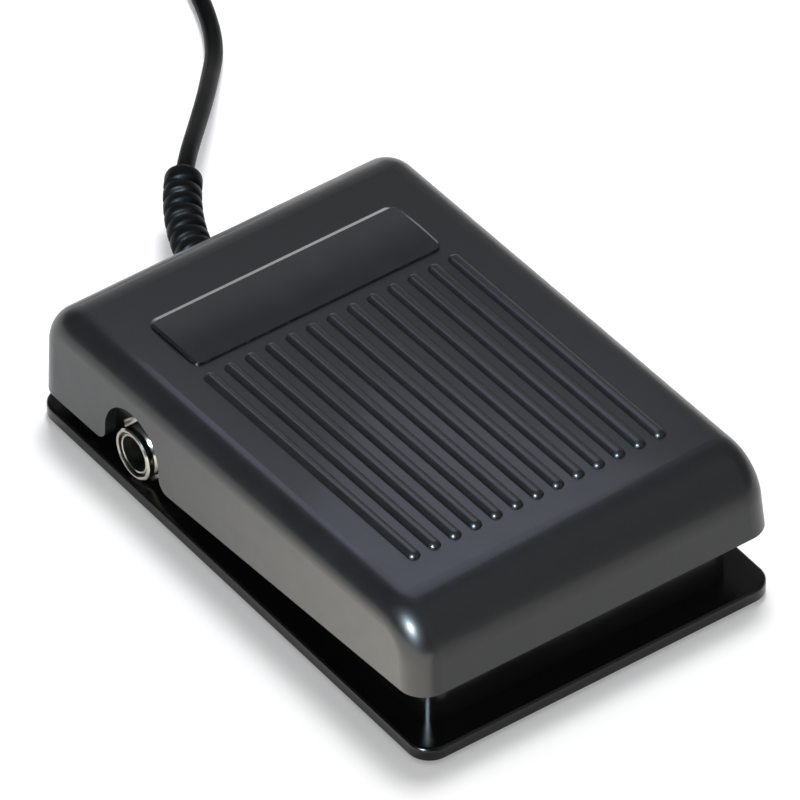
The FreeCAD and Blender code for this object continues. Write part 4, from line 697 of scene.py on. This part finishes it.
# %% Straight boot
BOOT_RADIUS = 3.6
BOOT_TAPER = 0.3
FLANGE_RADIUS = 4.2
FLANGE_THICK = 1.6
NECK_RADIUS = 2.9
NECK_LONG = 2.0
TIP_PLAIN = 2.0
TIP_RINGS = (  # each one's distance before the tip, and its radius
    (1.9, 3.3), (1.5, 3.2), (0.5, 2.3), (0.1, 1.95), (0.0, 1.7),
)
GROOVE_START = 1.6
GROOVE_PITCH = 2.85
GROOVE_WIDE = 1.5
GROOVE_STEPS = 8


def boot_radius(distance):
    """The boot's radius at a distance from the wall: it tapers a little."""
    return BOOT_RADIUS - BOOT_TAPER * distance / BOOT_LONG


def boot_rings():
    """Rings of the straight boot, with more in each groove, and where the grooves start."""
    rings = [
        (-NECK_LONG - FLANGE_THICK, FLANGE_RADIUS),
        (-NECK_LONG, FLANGE_RADIUS),
        (-NECK_LONG, NECK_RADIUS),
        (0.0, NECK_RADIUS),
        (0.0, boot_radius(0)),
    ]
    grooves = []
    start = GROOVE_START
    while start + GROOVE_WIDE < BOOT_LONG - TIP_PLAIN:
        for step in range(GROOVE_STEPS + 1):
            height = start + GROOVE_WIDE * step / GROOVE_STEPS
            rings.append((height, boot_radius(height)))
        grooves.append(start)
        start += GROOVE_PITCH
    rings += [(BOOT_LONG - before, radius) for before, radius in TIP_RINGS]
    return rings, grooves


rings, grooves = boot_rings()
boot = ringed("strain_relief_boot", rings, sides=64)
print(len(rings), "rings for", len(grooves), "grooves")

# %% [markdown]
# The grooves are pressed in by moving the rings' corners towards the middle line, most of
# all at the groove's own middle, so that its bottom is round.

# %% Press the boot's grooves in
GROOVE_DEEP = 0.9
GROOVE_SHALLOW = 0.45
SHALLOW_UP_TO = -0.45  # a share of the radius, across the boot
DEEP_AFTER = 0.15  # the same
TINY = 0.001  # a margin for rounding


def press_groove(mesh, start, side):
    """Presses one groove in; it is deeper towards the side, which is 1 or -1."""
    for vertex in mesh.verts:
        share = (vertex.co.z / MM - start) / GROOVE_WIDE
        if TINY < share < 1 - TINY:
            across = vertex.co.x * side / (boot_radius(start) * MM)
            open_share = (across - SHALLOW_UP_TO) / (DEEP_AFTER - SHALLOW_UP_TO)
            open_share = max(0.0, min(1.0, open_share))
            deepest = GROOVE_SHALLOW + (GROOVE_DEEP - GROOVE_SHALLOW) * open_share
            depth = deepest * math.sin(math.pi * share) ** 2
            radius = math.hypot(vertex.co.x, vertex.co.y)
            vertex.co.x *= 1 - depth * MM / radius
            vertex.co.y *= 1 - depth * MM / radius


mesh = bmesh.new()
mesh.from_mesh(boot.data)
for number, start in enumerate(grooves):
    press_groove(mesh, start, 1 if number % 2 == 0 else -1)
mesh.to_mesh(boot.data)
mesh.free()
print("grooves start at", [round(start, 2) for start in grooves])

# %% [markdown]
# A Curve modifier bends the straight boot along its middle line. The line starts 4 mm
# inside the wall's outer face, so that the flange and the neck follow it too.

# %% Bend the boot along its middle line
LINE_INSIDE = 4.0


def use_modifier(piece, kind, name, **settings):
    """Adds a modifier, sets it and applies it."""
    select_only(piece)
    modifier = piece.modifiers.new(name, kind)
    for key, value in settings.items():
        setattr(modifier, key, value)
    bpy.ops.object.modifier_apply(modifier=name)


bend = bpy.data.curves.new("boot_bend", "CURVE")
bend.dimensions = "3D"
line = bend.splines.new("POLY")
line_spots = [BOOT_ROOT - Vector((0, LINE_INSIDE, 0))] + boot_spots
line.points.add(len(line_spots) - 1)
for control, point in zip(line.points, line_spots):
    control.co = (*(point * MM), 1)
bend_object = bpy.data.objects.new("boot_bend", bend)
bpy.context.collection.objects.link(bend_object)
settle(boot, (0, 0, LINE_INSIDE))
use_modifier(boot, "CURVE", "bend", object=bend_object, deform_axis="POS_Z")
bpy.data.objects.remove(bend_object)
smooth(boot, degrees=50)
dress(boot, "base", "cord_rubber", "strain_relief")

# %% [markdown]
# ## Where the treadle stands
# At rest the springs hold the treadle up by the whole range of its joint. The badge is
# drawn on the treadle pressed flat, and one function turns it about the hinge to where
# it lies at rest.

# %% Where the treadle stands at rest
press = next(joint for joint in frame["joints"] if joint["name"] == "treadle_press")
HINGE = Vector(press["pos_m"]) / MM
TILT = math.radians(press["range_deg"][1])
TOP_SLOPE = math.radians(2.45)
TOP_MIDDLE = 24.1


def with_treadle(point):
    """Where a point of the treadle, drawn pressed flat, lies at rest, in millimetres."""
    return HINGE + Matrix.Rotation(-TILT, 3, "X") @ (Vector(point) - HINGE)


print("treadle lifted by", round(math.degrees(TILT), 2), "degrees")

# %% [markdown]
# ## The badge plate
# A die-cut glossy plate lies in a shallow seat across the treadle. It is slightly domed
# from front to back, and its rim has a flat polished bevel: at the back that bevel leans
# just enough to mirror the bright horizon, and makes the thin bright line in the
# photograph. A cube is stretched to the plate's size below the bevel, and its upright
# edges are rounded.

# %% Blank of the badge
BADGE_WIDE = 51.1
BADGE_LONG = 14.6
BADGE_THICK = 0.95
BADGE_CORNER = 2.0
BEVEL_DROP = 0.28


def pick(piece, kind, test):
    """In edit mode, selects just the edges or faces whose corners pass a test, in mm."""
    bpy.ops.mesh.select_all(action="DESELECT")
    mesh = bmesh.from_edit_mesh(piece.data)
    for part in getattr(mesh, kind):
        if test([vertex.co / MM for vertex in part.verts]):
            part.select_set(True)
    bmesh.update_edit_mesh(piece.data)


def is_upright(spots):
    """Whether an edge stands upright."""
    return (spots[0].xy - spots[1].xy).length < TINY


deselect()
bpy.ops.mesh.primitive_cube_add(size=MM, location=(0, 0, -BEVEL_DROP * MM / 2))
badge = bpy.context.object
badge.name = "badge"
badge.scale = (BADGE_WIDE, BADGE_LONG, BADGE_THICK - BEVEL_DROP)
bpy.ops.object.transform_apply(location=True, rotation=True, scale=True)
bpy.ops.object.mode_set(mode="EDIT")
bpy.ops.mesh.select_mode(type="EDGE")
pick(badge, "edges", is_upright)
bpy.ops.mesh.bevel(offset=BADGE_CORNER * MM, segments=8, affect="EDGES")
bpy.ops.object.mode_set(mode="OBJECT")
print("blank with", len(badge.data.polygons), "faces")

# %% [markdown]
# The top face is inset and raised for the bevel. Resizing it about its rear edge makes
# the bevel narrower at the sides, and narrowest in front. Cuts across the plate then
# leave strips that rise to the crown.

# %% Bevel and crown of the badge
BEVEL_REAR = 0.95
BEVEL_SIDE = 0.50
BEVEL_FRONT = 0.12
BADGE_STRIPS = 12
BADGE_CROWN = 0.3


def is_upper(spots):
    """Whether a face is the blank's top."""
    return all(spot.z > BADGE_THICK / 2 - BEVEL_DROP - TINY for spot in spots)


bpy.ops.object.mode_set(mode="EDIT")
bpy.ops.mesh.select_mode(type="FACE")
pick(badge, "faces", is_upper)
bpy.ops.mesh.inset(thickness=BEVEL_REAR * MM, depth=BEVEL_DROP * MM)
inner_wide = BADGE_WIDE - 2 * BEVEL_REAR
inner_long = BADGE_LONG - 2 * BEVEL_REAR
wider = (BADGE_WIDE - 2 * BEVEL_SIDE) / inner_wide
longer = (BADGE_LONG - BEVEL_REAR - BEVEL_FRONT) / inner_long
bpy.ops.transform.resize(
    value=(wider, longer, 1), center_override=(0, inner_long * MM / 2, 0)
)
for strip in range(1 - BADGE_STRIPS // 2, BADGE_STRIPS // 2):
    cut = strip * BADGE_LONG * MM / BADGE_STRIPS
    bpy.ops.mesh.select_all(action="SELECT")
    bpy.ops.mesh.bisect(plane_co=(0, cut, 0), plane_no=(0, 1, 0))
bpy.ops.object.mode_set(mode="OBJECT")
for vertex in badge.data.vertices:
    away = vertex.co.y / MM / (BADGE_LONG / 2)
    if vertex.co.z > 0:
        vertex.co.z += BADGE_CROWN * (1 - away * away) * MM
print("cut into", len(badge.data.polygons), "faces")

# %% [markdown]
# The plate lies in its seat, half a millimetre below the treadle's top, with its middle
# well behind the treadle's own. It slopes with the top and is turned with the treadle.

# %% Lay the badge in its seat
BADGE_BACK = 29.6
BADGE_SUNK = 0.5

seat = TOP_MIDDLE + BADGE_BACK * math.tan(TOP_SLOPE) - BADGE_SUNK
place = with_treadle((0, BADGE_BACK, seat + BADGE_THICK / 2))
settle(badge, place, (TOP_SLOPE - TILT, 0, 0))
smooth(badge, degrees=12)
dress(badge, "treadle", "badge_gloss", "badge_plate")

# %% [markdown]
# ## The phone jack
# The bushing is a turned and threaded brass tube. Its mouth has a raised inner lip with
# a dark groove round it, which reads as two rings in the photograph. The profile runs up
# the outside over the thread's crests, across the mouth and back down the bore, and the
# two ends are bridged. The nut and the washer stay as CAD made them.

# %% Threaded bushing
JACK_BACK = 26.9
JACK_HIGH = 10.7
JACK_ROOT = -29.3
JACK_REACH = 7.3
JACK_RADIUS = 4.75
JACK_BORE = 3.25
THREAD_START = 3.0
THREAD_END = 6.4
THREAD_PITCH = 0.8
THREAD_DEEP = 0.28
MOUTH_RINGS = (  # each one's depth below the mouth, and its radius
    (0.25, JACK_RADIUS), (0.0, 4.5), (0.0, 4.2), (0.1, 4.09), (1.3, 4.05),
    (1.3, 3.67), (0.4, 3.63), (0.3, 3.45), (0.42, JACK_BORE),
)


def open_bore(piece, height):
    """Joins the first and the last ring, at one height, so that a hole goes through."""
    def is_level(spots):
        return all(abs(spot.z - height) < TINY for spot in spots)

    select_only(piece)
    bpy.ops.object.mode_set(mode="EDIT")
    bpy.ops.mesh.select_mode(type="FACE")
    pick(piece, "faces", is_level)
    bpy.ops.mesh.delete(type="ONLY_FACE")
    bpy.ops.mesh.select_mode(type="EDGE")
    pick(piece, "edges", is_level)
    bpy.ops.mesh.bridge_edge_loops()
    bpy.ops.mesh.select_all(action="SELECT")
    bpy.ops.mesh.normals_make_consistent(inside=False)
    bpy.ops.object.mode_set(mode="OBJECT")


rings = [(0.0, JACK_RADIUS)]
crest = THREAD_START
while crest + THREAD_PITCH < THREAD_END:
    rings.append((crest, JACK_RADIUS))
    rings.append((crest + THREAD_PITCH / 2, JACK_RADIUS - THREAD_DEEP))
    crest += THREAD_PITCH
rings.append((crest, JACK_RADIUS))
rings += [(JACK_REACH - depth, radius) for depth, radius in MOUTH_RINGS]
rings.append((0.0, JACK_BORE))
bushing = ringed("threaded_bushing", rings, sides=96)
open_bore(bushing, 0.0)
settle(bushing, (JACK_ROOT, JACK_BACK, JACK_HIGH), (0, math.radians(-90), 0))
smooth(bushing, degrees=28)
dress(bushing, "base", "nickel", "jack_bushing")

# %% [markdown]
# ## Feet and stop pads
# Four rubber feet carry the pedal, each on a thin rim round a shallow dish. One foot is
# modelled from its flat top down the side, across the rim and up into the dish, and then
# copied.

# %% Feet
FOOT_RINGS = [
    (1.6, 5.0), (0.55, 5.0), (0.2, 4.88), (0.03, 4.6), (0.0, 4.3),
    (0.0, 3.5), (0.12, 3.25), (0.3, 2.9), (0.38, 2.0), (0.4, 0.4),
]


def twin(piece, name):
    """A copy of a piece with a mesh of its own."""
    other = piece.copy()
    other.data = piece.data.copy()
    other.name = name
    bpy.context.collection.objects.link(other)
    return other


foot = ringed("foot", FOOT_RINGS)
for node in [name for name in nodes if name.startswith("foot_")]:
    low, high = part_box(node)
    middle = (low + high) / 2 / MM
    piece = twin(foot, f"rubber_{node}")
    settle(piece, (middle.x, middle.y, 0))
    smooth(piece)
    dress(piece, "base", "rubber", node)
bpy.data.objects.remove(foot)

# %% [markdown]
# Two rubber pads stop the treadle when it is pressed. Each is a short stud with a rounded
# shoulder and a dimple in its top.

# %% Stop pads
PAD_RINGS = [
    (0.0, 3.3), (3.0, 3.38), (3.5, 3.3), (3.85, 3.0), (4.0, 2.5),
    (4.0, 1.6), (3.85, 1.3), (3.5, 1.1), (3.4, 0.8), (3.4, 0.2),
]
pad = ringed("pad", PAD_RINGS)
for side in ("left", "right"):
    node = f"stop_bumper_{side}"
    low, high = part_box(node)
    middle = (low + high) / 2 / MM
    piece = twin(pad, f"rubber_pad_{side}")
    settle(piece, (middle.x, middle.y, low.z / MM))
    smooth(piece)
    dress(piece, "base", "rubber", node)
bpy.data.objects.remove(pad)

# %% [markdown]
# ## Return springs
# Each spring is wound from round wire, with closed ends that lie flat on the peg's seat
# and under the treadle. A spline round a helix draws it best: the end turns hardly rise,
# and the turns between them share the height evenly.

# %% Line of a spring's wire
SPRING_RADIUS = 4.05
SPRING_WIRE = 0.45
SPRING_TURNS = 7.5
SPRING_ENDS = 0.8
SPRING_ENDS_RISE = 0.07
POINTS_PER_TURN = 16


def spring_rise(turn):
    """Share of the spring's height after some turns; the end turns hardly rise."""
    middle = min(max((turn - SPRING_ENDS) / (SPRING_TURNS - 2 * SPRING_ENDS), 0.0), 1.0)
    ends = min(turn, SPRING_ENDS) + max(turn - SPRING_TURNS + SPRING_ENDS, 0.0)
    closed = SPRING_ENDS_RISE * ends / (2 * SPRING_ENDS)
    return closed + (1 - SPRING_ENDS_RISE) * middle


def spring_points(low, high):
    """Points along the wire of a spring that fills a box between two of its corners."""
    middle = (low + high) / 2
    seat = low.z + SPRING_WIRE
    tall = high.z - low.z - 2 * SPRING_WIRE
    points = []
    for step in range(int(SPRING_TURNS * POINTS_PER_TURN) + 1):
        turn = step / POINTS_PER_TURN
        angle = math.tau * turn
        points.append((
            middle.x + SPRING_RADIUS * math.cos(angle),
            middle.y + SPRING_RADIUS * math.sin(angle),
            seat + tall * spring_rise(turn),
        ))
    return points


print("halfway up, the wire has risen by", round(spring_rise(SPRING_TURNS / 2), 3))

# %% [markdown]
# The left and the right spring differ only in their place, which is read from the frame.
# Each spline is made a mesh, which rides on the base.

# %% Both return springs
for side in ("left", "right"):
    node = f"return_spring_{side}"
    low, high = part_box(node)
    low, high = low / MM, high / MM
    middle = (low + high) / 2
    points = spring_points(low, high)
    wire = open_spline(
        f"spring_line_{side}", points, SPRING_WIRE, bevel_steps=2, curve_steps=3
    )
    select_only(wire)
    bpy.ops.object.convert(target="MESH")
    spring = bpy.context.object
    spring.name = f"wound_spring_{side}"
    smooth(spring, degrees=60)
    dress(spring, "base", "spring_steel", node)
    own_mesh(spring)

# %% [markdown]
# ## The phone plug
# The plug on the cord's far end has a moulded handle: a tapered tail that grips the cord,
# then a barrel with finger grooves. Its sleeve, ring and tip stay CAD's turned metal.

# %% Plug handle
HANDLE_LONG = 31.0
BARREL_RADIUS = 5.55
FINGER_START = 10.6
FINGER_END = 24.0
FINGER_PITCH = 2.6
FINGER_RADIUS = 5.15
FINGER_WIDE = 1.5
FINGER_SLOPE = 0.35
TAIL_RINGS = (  # each one's height and its radius
    (0.0, 2.0), (0.3, 2.3), (3.0, 2.75), (5.6, 3.5), (7.4, 4.4), (8.6, 5.2), (9.2, 5.5),
)
HEAD_RINGS = (  # each one's distance before the handle's end, and its radius
    (3.4, BARREL_RADIUS), (0.8, BARREL_RADIUS), (0.2, 5.3), (0.0, 4.8), (0.0, 3.3),
    (0.0, 0.4),
)

rings = list(TAIL_RINGS)
start = FINGER_START
while start < FINGER_END:
    rings += [
        (start, BARREL_RADIUS),
        (start + FINGER_SLOPE, FINGER_RADIUS),
        (start + FINGER_WIDE - FINGER_SLOPE, FINGER_RADIUS),
        (start + FINGER_WIDE, BARREL_RADIUS),
    ]
    start += FINGER_PITCH
rings += [(HANDLE_LONG - before, radius) for before, radius in HEAD_RINGS]
handle = ringed("moulded_handle", rings, sides=64)
settle(handle, route[-1], (0, math.radians(-90), 0))
smooth(handle, degrees=30)
dress(handle, "base", "case_plastic", "plug_handle")

# %% [markdown]
# The boot and the plug sit on the cord's two ends. Last, the view layer is brought up to
# date.

# %% Finish
bpy.context.view_layer.update()
